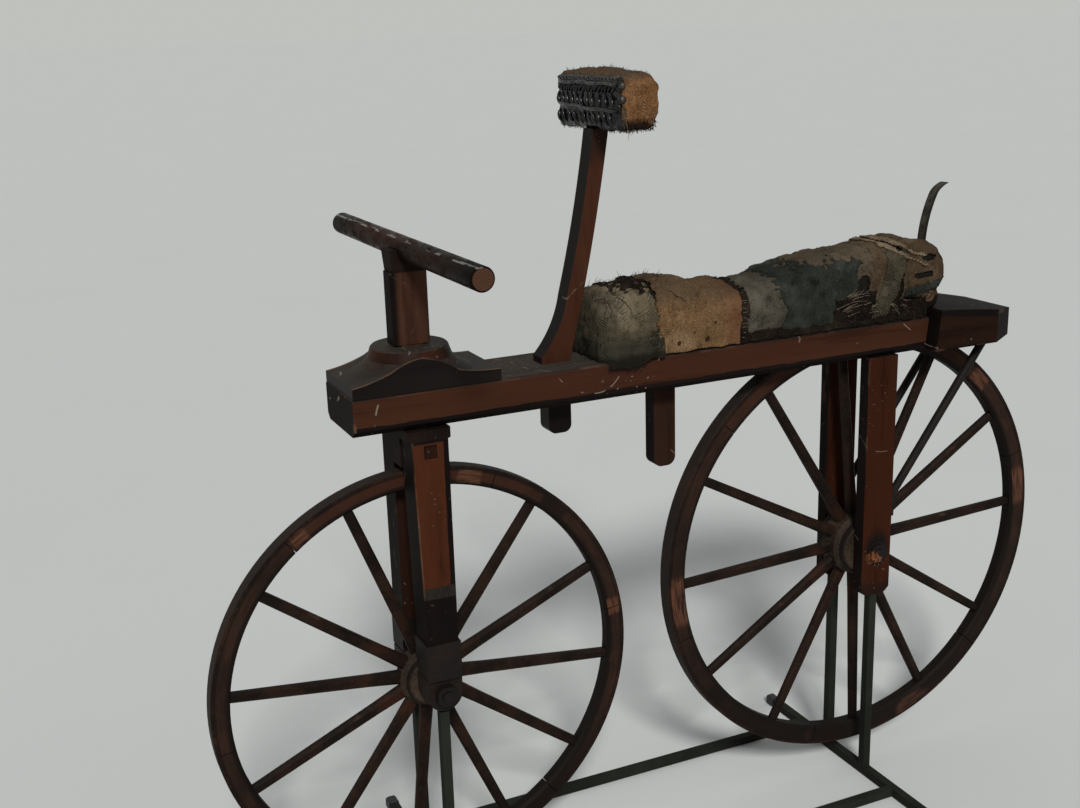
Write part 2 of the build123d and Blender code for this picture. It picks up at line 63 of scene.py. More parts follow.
class Value:
    """A number, colour or place that varies over a surface. Sums written with it become Math nodes."""

    __add__, __radd__ = both_ways("ADD")
    __sub__, __rsub__ = both_ways("SUBTRACT")
    __mul__, __rmul__ = both_ways("MULTIPLY")
    __truediv__, __rtruediv__ = both_ways("DIVIDE")
    __pow__, __rpow__ = both_ways("POWER")

    def __init__(self, finish, socket):
        self.finish = finish
        self.socket = socket

    def math(self, operation, *terms):
        return self.finish.node("Math", dict(enumerate(terms)), operation=operation)

    def __abs__(self):
        return self.math("ABSOLUTE", self)

    def least(self, other):
        return self.math("MINIMUM", self, other)

    def most(self, other):
        return self.math("MAXIMUM", self, other)

    def rise(self, low, high):
        """0 below low, 1 above high, smooth between; with low above high it falls."""
        top = 0.0 if low > high else 1.0
        ends = {"From Min": min(low, high), "From Max": max(low, high), "To Min": 1.0 - top, "To Max": top}
        return self.finish.node("MapRange", {"Value": self, **ends}, interpolation_type="SMOOTHSTEP")


class Finish:
    """One finish, built up as a painter, smith or weaver would, on nodes that read a piece's coordinates."""

    def __init__(self, name, tree=None, **constants):
        if tree is None:
            self.material = bpy.data.materials.new(name)
            self.material.use_nodes = True
            tree = self.material.node_tree
            self.shader = tree.nodes["Principled BSDF"]
            for socket, number in constants.items():
                self.shader.inputs[socket.replace("_", " ")].default_value = number
        self.tree = tree

    def node(self, kind, values=None, out=0, **settings):
        made = self.tree.nodes.new("ShaderNode" + kind)
        for name, setting in settings.items():
            setattr(made, name, setting)
        for place, value in (values or {}).items():
            self.feed(made.inputs[place], value)
        return Value(self, made.outputs[out])

    def feed(self, socket, value):
        if isinstance(value, Value):
            self.tree.links.new(value.socket, socket)
        else:
            socket.default_value = value

    def place(self, stretch=(1, 1, 1)):
        """The piece's own coordinates in metres, stretched so that a grain or weave runs along it."""
        spot = self.node("TexCoord", out="Object")
        return self.node("VectorMath", {0: spot, 1: stretch}, operation="MULTIPLY")

    def parts(self, vector):
        split = self.node("SeparateXYZ", {0: vector})
        return [Value(self, socket) for socket in split.socket.node.outputs]

    def xyz(self):
        return self.parts(self.place())

    def facing(self):
        """The surface's own direction, by which a painter tells a top from a side."""
        return self.parts(self.node("TexCoord", out="Normal"))

    def sideways(self):
        """1 on a face that looks straight to either side of the machine, 0 on a top or an end."""
        return abs(self.facing()[1])

    def cloud(self, scale, stretch=(1, 1, 1), detail=3.0, rough=0.55, bend=0.0):
        spot = self.place(stretch)
        values = {"Vector": spot, "Scale": scale, "Detail": detail, "Roughness": rough, "Distortion": bend}
        return self.node("TexNoise", values)

    def ragged(self, scale, width, stretch=(1, 1, 1), detail=4):
        """A small shift to and fro, in metres, which makes an edge uneven over the given width."""
        return self.cloud(scale, stretch, detail) * width - width / 2

    def coats(self, under, *coats):
        """Colours laid one over another, each followed by a value that says how thickly."""
        for over, amount in coats:
            colours = [c if isinstance(c, Value) else (*c, 1.0) for c in (under, over)]
            under = self.node("Mix", {0: amount, 6: colours[0], 7: colours[1]}, out=2, data_type="RGBA")
        return under

    def lay(self, colour, roughness, relief=None, depth=0.001):
        """Ends the finish: its colour, its roughness, and its relief in metres."""
        self.feed(self.shader.inputs["Base Color"], colour)
        self.feed(self.shader.inputs["Roughness"], roughness)
        if relief is not None:
            bump = self.node("Bump", {"Height": relief, "Distance": depth, "Strength": 1.0})
            self.feed(self.shader.inputs["Normal"], bump)
        return self.material


def shade(colour, share):
    return tuple(share * c for c in colour)


def edge_gap(finish, low, high):
    """How far a point on a boxy piece is from its nearest edge, in metres."""
    a, b, c = [(value - start).least(end - value) for value, start, end in zip(finish.xyz(), low, high)]
    return a.least(b).most(a.most(b).least(c))


def rubbed_edges(finish, box, reach, scale, stretch, bare, detail=5):
    """Where hands and knocks have taken the paint off a boxy piece's edges, in patches."""
    return edge_gap(finish, *box).rise(*reach) * finish.cloud(scale, stretch, detail).rise(*bare)


def old_paint(finish, brown, grain, dust=0.0, worn=0.0, chips=1.0, tone=brown_paint, gloss=0.0, stains_and_glints=()):
    """Black paint, brown where brown says, dust, rubbed edges, scratches and nicks, then any last coats,
    such as rust or painted glints.
    """
    mottle = finish.cloud(9, grain, detail=5, rough=0.65)
    streak = finish.cloud(42, grain, detail=4, rough=0.7)
    fine = finish.cloud(260, detail=2)
    faded = finish.coats(
        tone,
        (shade(tone, 1.35), (mottle * 0.7 + streak * 0.5).rise(0.5, 0.85)),
        (shade(tone, 0.55), streak.rise(0.5, 0.31) * 0.8),
    )
    line = abs(finish.cloud(5, detail=0) - 0.5).rise(0.003, 0.001)
    scratch = line * finish.cloud(60, detail=1).rise(0.55, 0.6) * finish.cloud(6).rise(0.36, 0.48)
    nicks = finish.cloud(210, detail=1).rise(0.705, 0.74) * finish.cloud(11, detail=2).rise(0.53, 0.62)
    colour = finish.coats(
        black_paint,
        (soot, mottle.rise(0.42, 0.68)),
        (faded, brown),
        (grey_dust, (fine.rise(0.25, 0.75) * 0.45 + 0.65) * dust * mottle.rise(0.15, 0.62)),
        (bare_wood, worn),
        (chip_pale, scratch.most(nicks) * 0.6 * chips),
        *stains_and_glints,
    )
    relief = streak * 0.45 + fine * 0.2 + mottle * 0.5 - worn * 0.35 - nicks * 0.5
    return finish.lay(colour, 0.48 - gloss + mottle * 0.2 + dust * 0.25, relief, 0.0006)


def paint(nodes, material):
    """Gives CAD nodes their finish in place of the plain one."""
    for name in nodes:
        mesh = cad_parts[name].data
        mesh.materials.clear()
        mesh.materials.append(material)


def timber(name, specular=0.022):
    return Finish(name, Specular_IOR_Level=specular)


along_x = (0.1, 1.0, 1.0)
along_y = (1.0, 0.1, 1.0)
along_z = (1.0, 1.0, 0.1)

beam_low, beam_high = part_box("beam")
dark_band = 0.0128
band_blur = 0.0007
finish = timber("beam_paint")
x, _, z = finish.xyz()
facing_x, _, facing_z = finish.facing()
ragged = finish.ragged(55, 0.006, (0.5, 1, 1))
band_line = (z - beam_low.z + ragged).rise(dark_band - band_blur, dark_band + band_blur)
upper_edge = (beam_high.z - z + ragged * 0.5).rise(0.0018, 0.0034)
sides = finish.sideways().rise(0.45, 0.6) * band_line * (0.35 + 0.65 * upper_edge)
rubbed = rubbed_edges(finish, (beam_low, beam_high), (0.0045, 0.0015), 38, (0.35, 1, 1), (0.54, 0.68))
near_bolster = x.rise(beam_high.x, beam_low.x + 0.2) * 0.35 + 0.65
dust = facing_z.rise(0.6, 0.9) * 0.95 * near_bolster + abs(facing_x).rise(0.8, 0.95) * 0.05
front_corner = x.rise(beam_low.x + 0.012, beam_low.x + 0.003) * 0.5
worn = rubbed * facing_z.rise(-0.5, 0.2) * (0.45 + front_corner)
paint(["beam"], old_paint(finish, sides, along_x, dust, worn))

tail_low, tail_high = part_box("tail_block")
tail_brown = (0.015, 0.0066, 0.004)
tail_fall = 0.12
finish = timber("tail_paint")
x, _, z = finish.xyz()
ragged = finish.ragged(55, 0.006, (0.5, 1, 1))
slope = tail_high.z - (x - tail_low.x) * tail_fall
sides = finish.sideways().rise(0.88, 0.96) * (z - tail_low.z + ragged).rise(0.002, 0.004)
sides = sides * (slope - 0.007 - z + ragged).rise(0.0, 0.002)
slope_edge = (slope - z).rise(0.0055, 0.002) * finish.sideways().rise(0.5, 0.8)
rubbed = edge_gap(finish, tail_low, tail_high).rise(0.004, 0.001).most(slope_edge)
worn = rubbed * finish.cloud(38, (0.35, 1, 1), detail=5).rise(0.52, 0.66) * 0.35
dust = finish.facing()[2].rise(0.6, 0.9) * 0.02
paint(["tail_block"], old_paint(finish, sides, along_x, dust, worn, 0.8, tone=tail_brown))


# The steering bolster: a saddle carved from one block with a round boss for the post, bolted on
# the beam. It is black with some brown left on the boss. Its hollows hold grey dust, and its
# ridge is rubbed to bare wood, its pale line also a painted highlight along the arris.
boss_brown = (0.029, 0.0092, 0.0046)


def distance(a, b):
    return (a ** 2 + b ** 2) ** 0.5


def middle(node):
    low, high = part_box(node)
    return (low + high) / 2


steer = middle("steering_post")
half_beam = (beam_high.y - beam_low.y) / 2
finish = timber("bolster_paint", 0.07)
x, y, _ = finish.xyz()
facing_x, _, facing_z = finish.facing()
boss_side = facing_z.rise(0.86, 0.56) * distance(x - steer.x, y).rise(0.092, 0.074)
boss_side = boss_side * abs(y).rise(half_beam - 0.0004, half_beam - 0.002) * facing_x.rise(0.85, 0.3)
boss_side = boss_side * finish.cloud(13, detail=6).rise(0.34, 0.58)
hollows = facing_z.rise(0.35, 0.8) * (1 - 0.45 * (x - steer.x).rise(0.0, 0.05))
# The pale ridge line is worn wood and also a painted highlight along the arris.
ridge = abs(y).rise(half_beam - 0.0062, half_beam - 0.0022) * facing_z.rise(0.1, 0.4)
ridge = ridge * finish.cloud(60, (0.5, 1, 1), detail=5).rise(0.4, 0.56)
bolster_paint = old_paint(
    finish, boss_side, along_x, hollows * 0.55, ridge * 0.95, 0.7, tone=boss_brown, gloss=0.1
)
paint(["steering_bolster"], bolster_paint)


# The steering column above the beam: a square post, brown on its sides and black in front, a
# dark tapered neck, and a round bar rubbed glossy by hands, with a painted highlight along its
# top, its ends showing bare end grain.
post_low, post_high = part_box("steering_post")
post_brown = (0.052, 0.0225, 0.0138)
bolster_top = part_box("steering_bolster")[1].z
finish = timber("post_paint")
sides = finish.sideways().rise(0.5, 0.66) * (finish.xyz()[0] - post_low.x).rise(0.003, 0.012)
shown = (Vector((post_low.x, post_low.y, bolster_top)), post_high)
rubbed = rubbed_edges(finish, shown, (0.003, 0.001), 45, (1, 1, 0.4), (0.58, 0.7), detail=4)
paint(["steering_post"], old_paint(finish, sides, along_z, 0.0, rubbed * 0.35, 0.15, tone=post_brown))
paint(["handlebar_neck"], old_paint(timber("neck_paint"), 0.08, along_y, chips=0.3, tone=post_brown))

bar_low, bar_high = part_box("handlebar")
bar_middle = (bar_low + bar_high) / 2
bar_radius = (bar_high.z - bar_low.z) / 2
finish = Finish("handlebar_polish", Specular_IOR_Level=0.012)
x, y, z = finish.xyz()
height = z - bar_middle.z
streak = finish.cloud(30, along_y, detail=5, rough=0.7)
rubs = finish.cloud(75, (1, 0.45, 1), detail=5, rough=0.75)
hands = abs(y).rise(0.27, 0.1)
# A thin broken pale line along the upper front of the bar is a painted highlight.
painted_highlight_line = height.rise(0.0116, 0.0124) * height.rise(0.0142, 0.0136) * (x - bar_middle.x).rise(0.002, -0.002)
painted_highlight_line = painted_highlight_line * finish.cloud(230, (1, 0.14, 1), detail=3).rise(0.5, 0.58)
ring_values = {"Vector": finish.place(), "Scale": 120.0, "Distortion": 5.0, "Detail": 3.0}
rings = finish.node("TexWave", ring_values, wave_type="RINGS", rings_direction="Y")
end_grain = finish.coats((0.052, 0.023, 0.013), ((0.082, 0.04, 0.025), rings.rise(0.2, 0.8)))
bar_end = abs(y).rise(bar_high.y - 0.0012, bar_high.y - 0.0004)
end_face = distance(x - bar_middle.x, height).rise(bar_radius - 0.0014, bar_radius - 0.0028)
bar_colour = finish.coats(
    (0.005, 0.0034, 0.0027),
    ((0.025, 0.0105, 0.0066), hands * streak.rise(0.34, 0.64)),
    ((0.07, 0.038, 0.024), rubs.rise(0.62, 0.76) * height.rise(0.004, 0.013) * 0.2),
    ((0.34, 0.32, 0.29), painted_highlight_line * 0.5),
    (end_grain, bar_end * end_face),
)
glaze = 0.24 + rubs.rise(0.4, 0.66) * 0.35 + bar_end * 0.3
paint(["handlebar"], finish.lay(bar_colour, glaze, streak * 0.7 + rubs, 0.0006))


# The front fork: a crown under the beam, and two splayed wooden legs shod in iron. The legs are
# brown on their outer faces, black in front and behind, with a grey band above black feet.
leg_low, leg_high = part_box("fork_leg_left")
leg_mid_y = 0.045
field_low = 0.487
band_low = 0.471
peg_z = leg_high.z - 0.015
peg_half = 0.0078
border = 0.0065
foot_half_width = 0.0213
widening = 0.0113
leg_brown = (0.049, 0.015, 0.0068)
finish = timber("fork_leg_paint")
x, y, z = finish.xyz()
outer_face = finish.sideways().rise(0.88, 0.95) * (abs(y) - leg_mid_y).rise(0.0, 0.002)
inner_face = finish.sideways().rise(0.7, 0.9) * (abs(y) - leg_mid_y).rise(0.002, 0.0)
ragged = finish.ragged(70, 0.006, (1, 1, 0.6), detail=3)
across = x - steer.x
half_width = foot_half_width + (z - leg_low.z) * widening
field = (z - field_low + ragged).rise(-0.001, 0.001) * (leg_high.z - 0.002 - z).rise(0.0, 0.003)
field = field * (half_width - border - across + ragged * 0.5).rise(0.0, 0.0014)
field = field * (half_width + across + ragged * 0.3).rise(0.0003, 0.0012)
peg_gap = abs(across).most(abs(z - peg_z))
peg = peg_gap.rise(peg_half + 0.0006, peg_half)
peg_line = peg_gap.rise(peg_half + 0.0014, peg_half + 0.0006)
peg_line = peg_line * peg_gap.rise(peg_half - 0.0006, peg_half + 0.0002)
brown = (outer_face * field * (1 - peg_line) * (1 - peg * 0.72)).most(inner_face * 0.25)
band = outer_face * (z - field_low + ragged).rise(0.001, -0.001)
band = band * (z - band_low + ragged).rise(-0.001, 0.001) * 0.3
arris = outer_face * (half_width + across).rise(0.0034, 0.001) * (z - band_low).rise(0.0, 0.01)
rubbed = arris * finish.cloud(60, (1, 1, 0.25), detail=5).rise(0.44, 0.6)
leg_paint = old_paint(finish, brown, along_z, band, rubbed * 0.6, 0.5, tone=leg_brown)
paint(["fork_leg_left", "fork_leg_right"], leg_paint)

# The crown is left nearly all black: black paint, and also painted shade from the beam above it.
crown_paint = old_paint(timber("crown_paint"), 0.06, along_y, 0.02, chips=0.3)
paint(["fork_crown_plate", "fork_crown_block"], crown_paint)


# Forged iron: fork shoes, axles, square nuts, washers, stays, hub bands. It was blacked when new
# and is now a dull brown-black, with rust by the rear axle's ends and a painted highlight along
# the top of each stay.
iron_dark = (0.0078, 0.006, 0.0056)
iron_brown = (0.017, 0.0092, 0.0062)
iron_grey = (0.03, 0.024, 0.02)
iron_highlight = (0.17, 0.14, 0.12)
rust = (0.19, 0.068, 0.025)
rear_hub = middle("rear_wheel_hub")


def forged_iron(name, rusty=None, bright=None, brown=0.5, gloss=0.0):
    """Blacked iron, browned in patches and grey in its pits, with rust or a painted highlight where those
    say.
    """
    finish = Finish(name, Specular_IOR_Level=0.11)
    patch = finish.cloud(24, detail=6, rough=0.7)
    pit = finish.cloud(210, detail=3, rough=0.7)
    coats = [(iron_brown, patch.rise(0.4, 0.7) * brown), (iron_grey, pit.rise(0.6, 0.76) * 0.45)]
    if rusty:
        coats.append((rust, rusty(finish) * pit.rise(0.3, 0.62)))
    if bright:
        coats.append((iron_highlight, bright(finish) * patch.rise(0.35, 0.6)))
    colour = finish.coats(iron_dark, *coats)
    return finish.lay(colour, 0.5 - gloss + pit * 0.22, pit * 0.6 + patch * 0.6, 0.0007)


def foot_rust(finish):
    """The rounded eye at the foot is a little redder than the socket above."""
    return (finish.xyz()[2] - leg_low.z).rise(0.002, -0.012) * 0.015


def axle_rust(finish):
    """Bright rust has broken out below and in front of the axle's end."""
    x, _, z = finish.xyz()
    apart = distance(x - rear_hub.x + 0.01, z - rear_hub.z + 0.008)
    return (apart + finish.ragged(110, 0.02)).rise(0.0125, 0.0085)


def painted_stay_highlight(finish):
    """A thin broken line along the top of each stay is a painted highlight."""
    return finish.facing()[2].rise(0.56, 0.66) * finish.sideways().rise(0.15, 0.3) * 0.8


paint(["fork_shoe_left", "fork_shoe_right"], forged_iron("shoe_iron", foot_rust, brown=0.7))
paint(["front_axle", "front_axle_nuts"], forged_iron("nut_iron", brown=0.15, gloss=0.1))
paint(["front_wheel_hub_bands", "rear_wheel_hub_bands"], forged_iron("band_iron", brown=0.7))
paint(["rear_axle", "rear_axle_nuts", "rear_axle_washers"], forged_iron("axle_iron", axle_rust, brown=0.25))
paint(["rear_stay_left", "rear_stay_right"], forged_iron("stay_iron", bright=painted_stay_highlight, brown=0.6))


# The rear fork legs and the hanging tongue: straight staves, brown on their sides and black in
# front, the legs dark with grease and stained with rust where the axle passes through, and pale
# painted glints of light below the axle.
rear_leg_brown = (0.028, 0.0084, 0.0038)
glint = (0.3, 0.28, 0.25)
grease_squash = 1.6 ** 0.5
finish = timber("rear_leg_paint")
x, _, z = finish.xyz()
blot = finish.cloud(60, detail=4) * 0.02
grease = (distance(grease_squash * (x - rear_hub.x), z - rear_hub.z - 0.007) + blot).rise(0.046, 0.026)
lower = (z - rear_hub.z + blot).rise(-0.03, -0.055)
sides = finish.sideways().rise(0.7, 0.9) * (1 - grease) * (1 - lower * 0.7)
rubbed = rubbed_edges(finish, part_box("rear_leg_left"), (0.003, 0.001), 50, (1, 1, 0.3), (0.56, 0.7))
# Painted highlights: pale specks below the axle stand for glints of light.
glints = finish.cloud(300, (1.6, 1, 0.6), detail=2).rise(0.6, 0.66) * (z - rear_hub.z).rise(-0.01, -0.018)
stains_and_glints = ((rust, axle_rust(finish) * grease * 0.85), (glint, glints * grease * 0.8))
rear_leg_paint = old_paint(
    finish, sides, along_z, worn=rubbed * 0.35, chips=0.6, tone=rear_leg_brown, stains_and_glints=stains_and_glints
)
paint(["rear_leg_left", "rear_leg_right"], rear_leg_paint)

tongue_brown = (0.0235, 0.0105, 0.0068)
finish = timber("tongue_paint")
sides = finish.sideways().rise(0.7, 0.9) * finish.cloud(12, (1, 1, 0.5), detail=4).rise(0.28, 0.42)
rubbed = rubbed_edges(finish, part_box("hanging_tongue"), (0.003, 0.001), 50, (1, 1, 0.3), (0.55, 0.7))
paint(["hanging_tongue"], old_paint(finish, sides, along_z, 0.0, rubbed * 0.4, 0.6, tone=tongue_brown))


# The arm rest post: a bowed stave, brown on its sides and black in front and behind, tenoned
# through the beam with its tongue showing below.
arm_brown = (0.043, 0.015, 0.0078)
arm_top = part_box("arm_rest_post")[1].z
finish = timber("arm_post_paint", 0.05)
z = finish.xyz()[2]
# Just under the pad the brown fades towards black: painted shadow of the pad.
out_of_pad_shadow = (arm_top - z).rise(0.02, 0.06)
sides = finish.sideways().rise(0.7, 0.9) * (z - beam_low.z).rise(-0.02, 0.02) * (0.35 + 0.65 * out_of_pad_shadow)
worn = finish.cloud(25, (1, 1, 0.12), detail=5).rise(0.62, 0.72) * sides * 0.1
paint(["arm_rest_post"], old_paint(finish, sides, along_z, 0.0, worn, 0.7, tone=arm_brown, gloss=0.12))


# The wheels: six bent felloes shrunk into an iron tyre, twelve tapered spokes and a turned hub,
# all once brown, now dark with grease and worn to paler wood where the machine was handled,
# with painted shade low on each wheel and painted light on its upper parts.
tyre_thick = 0.005
grease_and_shade = (0.0075, 0.0052, 0.0042)
wheels = {
    "front_wheel": dict(felloe=0.022, worn=[(75.8, 3.0), (125.0, 2.2), (9.0, 2.5)], mended=(47.5, 4.2)),
    "rear_wheel": dict(felloe=0.026, worn=[(7.0, 5.0), (45.7, 3.0), (186.0, 6.0)], mended=(218.0, 3.0)),
}


def wheel_finish(wheel, kind, felloe, worn, mended):
    """The finish of one kind of piece in a wheel; worn and mended are (angle, spread) round the rim."""
    low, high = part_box(wheel + "_iron_tyre")
    centre = (low + high) / 2
    radius = (high.z - low.z) / 2
    finish = timber(f"{wheel}_{kind}", 0.06)
    x, y, z = finish.xyz()
    across, up = x - centre.x, z - centre.z
    out = distance(across, up)
    turn = up.math("ARCTAN2", up, across)
    flank = finish.sideways().rise(0.8, 0.95)
    mottle = finish.cloud(16, detail=6, rough=0.65)
    fine = finish.cloud(240, detail=3)
    round_grain = finish.node("CombineXYZ", {0: out * 60, 1: turn * 1.4, 2: y * 60})
    grain = finish.node("TexNoise", {"Vector": round_grain, "Scale": 6.0, "Detail": 5.0, "Roughness": 0.7})

    def near(angle, spread):
        """1 on the rim at one angle round the axle, fading over the spread, both in degrees."""
        a = math.radians(angle)
        along = across * math.cos(a) + up * math.sin(a)
        aside = abs(across * math.sin(a) - up * math.cos(a)) + mottle * 0.012 - 0.006
        reach = radius * math.radians(spread)
        return aside.rise(reach * 1.25, reach * 0.8) * along.rise(0.0, 0.05)

    if kind == "felloes":
        outer_edge = (radius - tyre_thick - out + mottle * 0.002).rise(0.004, 0.002)
        inner_edge = (out - radius + tyre_thick + felloe - mottle * 0.003).rise(0.0075, 0.0045)
        bare = finish.cloud(7, detail=4).rise(0.63, 0.7) * 0.6
        for spot in worn:
            bare = bare.most(near(*spot))
        # The flank is painted darker towards the bottom of the wheel as painted shade, and paler brown at
        # its top as painted light.
        side = finish.coats(
            (0.0125, 0.0074, 0.0054),
            ((0.029, 0.0136, 0.0092), (mottle * 0.6 + grain * 0.5).rise(0.4, 0.68)),
            (grease_and_shade, (up / radius + mottle * 0.5).rise(0.05, -0.55) * 0.9),
            ((0.045, 0.0165, 0.0085), (up / radius + mottle * 0.6).rise(0.85, 1.25) * 0.7),
        )
        colour = finish.coats(
            grease_and_shade,
            (side, flank),
            (grease_and_shade, outer_edge.most(inner_edge) * 0.85),
            ((0.11, 0.046, 0.026), bare * grain.rise(0.36, 0.6) * flank * 0.8),
            (grease_and_shade, near(*mended) * flank * 0.8),
        )
    elif kind == "spokes":
        # Paler wood on the spokes' upward faces is partly wear and partly painted light on their tops.
        rubbed = finish.cloud(34, detail=5).rise(0.58, 0.72) * finish.facing()[2].rise(0.0, 0.6)
        colour = finish.coats(
            (0.007, 0.0046, 0.0034),
            ((0.023, 0.0115, 0.0072), (mottle * 0.7 + fine * 0.3).rise(0.38, 0.66)),
            ((0.075, 0.042, 0.026), rubbed * 0.45),
            (grease_and_shade, out.rise(radius - 0.075, radius - 0.035) * 0.6),
            ((0.03, 0.0105, 0.0052), out.rise(0.13, 0.07) * mottle.rise(0.45, 0.6) * 0.6),
        )
    elif kind == "hub":
        lathe = {"Vector": finish.node("CombineXYZ", {1: y}), "Scale": 160.0, "Distortion": 1.5}
        turned = finish.node("TexWave", lathe, wave_type="BANDS", bands_direction="Y")
        colour = finish.coats(
            (0.018, 0.0122, 0.0088),
            ((0.054, 0.036, 0.0245), (mottle * 0.6 + fine * 0.4).rise(0.36, 0.66)),
            (grease_and_shade, turned.rise(0.72, 0.95) * 0.6),
        )
    else:
        colour = finish.coats(
            (0.007, 0.005, 0.0042),
            ((0.029, 0.013, 0.0075), (mottle * 0.6 + fine * 0.4).rise(0.42, 0.66)),
            ((0.024, 0.0175, 0.014), (out - radius + 0.0016).rise(0, 0.0012) * 0.5),
        )
    relief = grain * 0.5 + fine * 0.4 + mottle * 0.5
    return finish.lay(colour, 0.5 + mottle * 0.2, relief, 0.0007)


for wheel, marks in wheels.items():
    for kind in ("felloes", "spokes", "hub", "iron_tyre"):
        paint([f"{wheel}_{kind}"], wheel_finish(wheel, kind, **marks))


# The display stand: square steel bar, sprayed a dull dark grey-green, with black plastic caps.
finish = Finish("stand_spray", Specular_IOR_Level=0.03)
spray = finish.cloud(500, detail=2)
cloudy = finish.cloud(12, detail=4).rise(0.3, 0.7)
stand_colour = finish.coats((0.012, 0.0132, 0.01), ((0.02, 0.0216, 0.0168), cloudy))
stand_paint = finish.lay(stand_colour, 0.55 + spray * 0.15, spray, 0.0002)
paint(["stand_cross_bars", "stand_long_bars", "stand_front_uprights", "stand_rear_uprights"], stand_paint)

finish = Finish("cap_moulding", Specular_IOR_Level=0.3)
moulding = finish.cloud(700, detail=1)
cap_colour = finish.coats((0.01, 0.01, 0.01), ((0.016, 0.016, 0.016), moulding.rise(0.3, 0.7)))
paint(["stand_end_caps"], finish.lay(cap_colour, 0.5, moulding, 0.0001))


# The seat board under the cushion: a thin board wrapped in black cloth, which shows only as a
# dark band, because the cushion's own cloth hangs over its front end.
finish = Finish("board_cloth", Specular_IOR_Level=0.08)
lint = finish.cloud(300, detail=3)
folds = finish.cloud(18, (0.5, 1, 1), detail=4)
worn_thin = folds.rise(0.5, 0.7) * lint.rise(0.35, 0.7)
board_colour = finish.coats((0.004, 0.0032, 0.0026), ((0.017, 0.018, 0.0155), worn_thin))
paint(["seat_board"], finish.lay(board_colour, 0.9, lint + folds, 0.0012))


# The seat: a long roll of wool and horsehair wrapped in strips and patches of cloth, one on
# another, tied round, torn and frayed. The stuffing is swelled by a cloth simulation.
beam_top = beam_high.z
board_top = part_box("seat_board")[1].z
cushion_low, cushion_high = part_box("seat_cushion")
voxel = 0.0055
stuffing_steps = 18
ties = (-0.38, -0.2475, -0.055, 0.04)


def alone(piece):
    """Selects one piece and nothing else, ready for an operator."""
    bpy.ops.object.select_all(action="DESELECT")
    piece.select_set(True)
    bpy.context.view_layer.objects.active = piece


def joined(pieces, name):
    """Joins pieces into the first of them."""
    alone(pieces[0])
    for piece in pieces:
        piece.select_set(True)
    bpy.ops.object.join()
    bpy.context.object.name = name
    return bpy.context.object


def duplicate(source, name):
    piece = source.copy()
    piece.data = source.data.copy()
    piece.name = name
    scene.collection.objects.link(piece)
    return piece


def soft_copy(node, name):
    """A copy of a plain soft solid with its seams merged, ready to be shaped."""
    piece = duplicate(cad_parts[node], name)
    piece.parent = None
    for key in list(piece.keys()):
        del piece[key]
    piece.data.materials.clear()
    alone(piece)
    bpy.ops.object.mode_set(mode="EDIT")
    bpy.ops.mesh.select_all(action="SELECT")
    bpy.ops.mesh.remove_doubles(threshold=0.00005)
    bpy.ops.mesh.dissolve_limited(angle_limit=0.01)
    bpy.ops.mesh.quads_convert_to_tris()
    bpy.ops.object.mode_set(mode="OBJECT")
    return piece


def read_points(piece, what="co"):
    flat = np.zeros(len(piece.data.vertices) * 3)
    piece.data.vertices.foreach_get(what, flat)
    return flat.reshape(-1, 3)


def move_points(piece, points):
    piece.data.vertices.foreach_set("co", np.asarray(points, float).ravel())
    piece.data.update()


def modify(piece, kind, **settings):
    """Adds one modifier, sets it and applies it at once."""
    alone(piece)
    added = piece.modifiers.new(kind.lower(), kind)
    for name, setting in settings.items():
        setattr(added, name, setting)
    bpy.ops.object.modifier_apply(modifier=added.name)


def ramp(values, low, high):
    t = np.clip((values - low) / (high - low), 0, 1)
    return t * t * (3 - 2 * t)


def noise_at(points, scale, shift=0.0, octaves=3):
    move = Vector((shift, shift * 1.7, shift * 0.6))
    return np.array([noise.fractal(Vector(p) * scale + move, 0.6, 2.0, octaves) for p in points])


def oval(s, h, place, size):
    """Above 0 inside an oval spot on the roll's side, with its middle at place."""
    return 1 - np.hypot((s - place[0]) / size[0], (h - place[1]) / size[1])


def stuff(piece, pinned, reach):
    """Swells the stuffing by a cloth simulation; no point moves further than reach."""
    before = read_points(piece)
    held = piece.vertex_groups.new(name="held")
    held.add([int(i) for i in np.flatnonzero(pinned)], 1.0, "REPLACE")
    alone(piece)
    cloth = piece.modifiers.new("stuffing", "CLOTH").settings
    cloth.quality = 4
    cloth.mass = 0.25
    cloth.use_pressure = True
    cloth.uniform_pressure_force = 3.5
    cloth.tension_stiffness = 14
    cloth.compression_stiffness = 14
    cloth.shear_stiffness = 6
    cloth.bending_stiffness = 1.5
    cloth.vertex_group_mass = "held"
    cloth.effector_weights.gravity = 0
    for step in range(1, stuffing_steps + 1):
        scene.frame_set(step)
    bpy.ops.object.modifier_apply(modifier="stuffing")
    scene.frame_set(1)
    moved = read_points(piece) - before
    length = np.linalg.norm(moved, axis=1, keepdims=True)
    move_points(piece, before + moved * np.minimum(1, reach / np.maximum(length, 1e-9)))
    piece.vertex_groups.clear()


cushion = soft_copy("seat_cushion", "cushion")
modify(cushion, "REMESH", mode="VOXEL", voxel_size=voxel)
spots = read_points(cushion)
top_at = {}
for station in np.arange(cushion_low.x - 0.005, cushion_high.x + 0.006, voxel):
    near = np.abs(spots[:, 0] - station) < voxel * 1.2
    if near.any():
        top_at[station] = spots[near, 2].max()
stations = np.array(sorted(top_at))
crest = np.interp(spots[:, 0], stations, [top_at[station] for station in stations])
mid_height = (crest + board_top) / 2
half_h = np.maximum((crest - board_top) / 2, 0.01)
half_w = (cushion_high.y - cushion_low.y) / 2
u = np.clip(spots[:, 1] / half_w, -1, 1)
v = np.clip((spots[:, 2] - mid_height) / half_h, -1, 1)
round_side = np.where(v > 0, 0.8, 0.36)
round_top = np.where(v > 0, 0.7, 0.12)
spots[:, 1] = 0.965 * half_w * u * np.sqrt(1 - round_side * v ** 2 / 2)
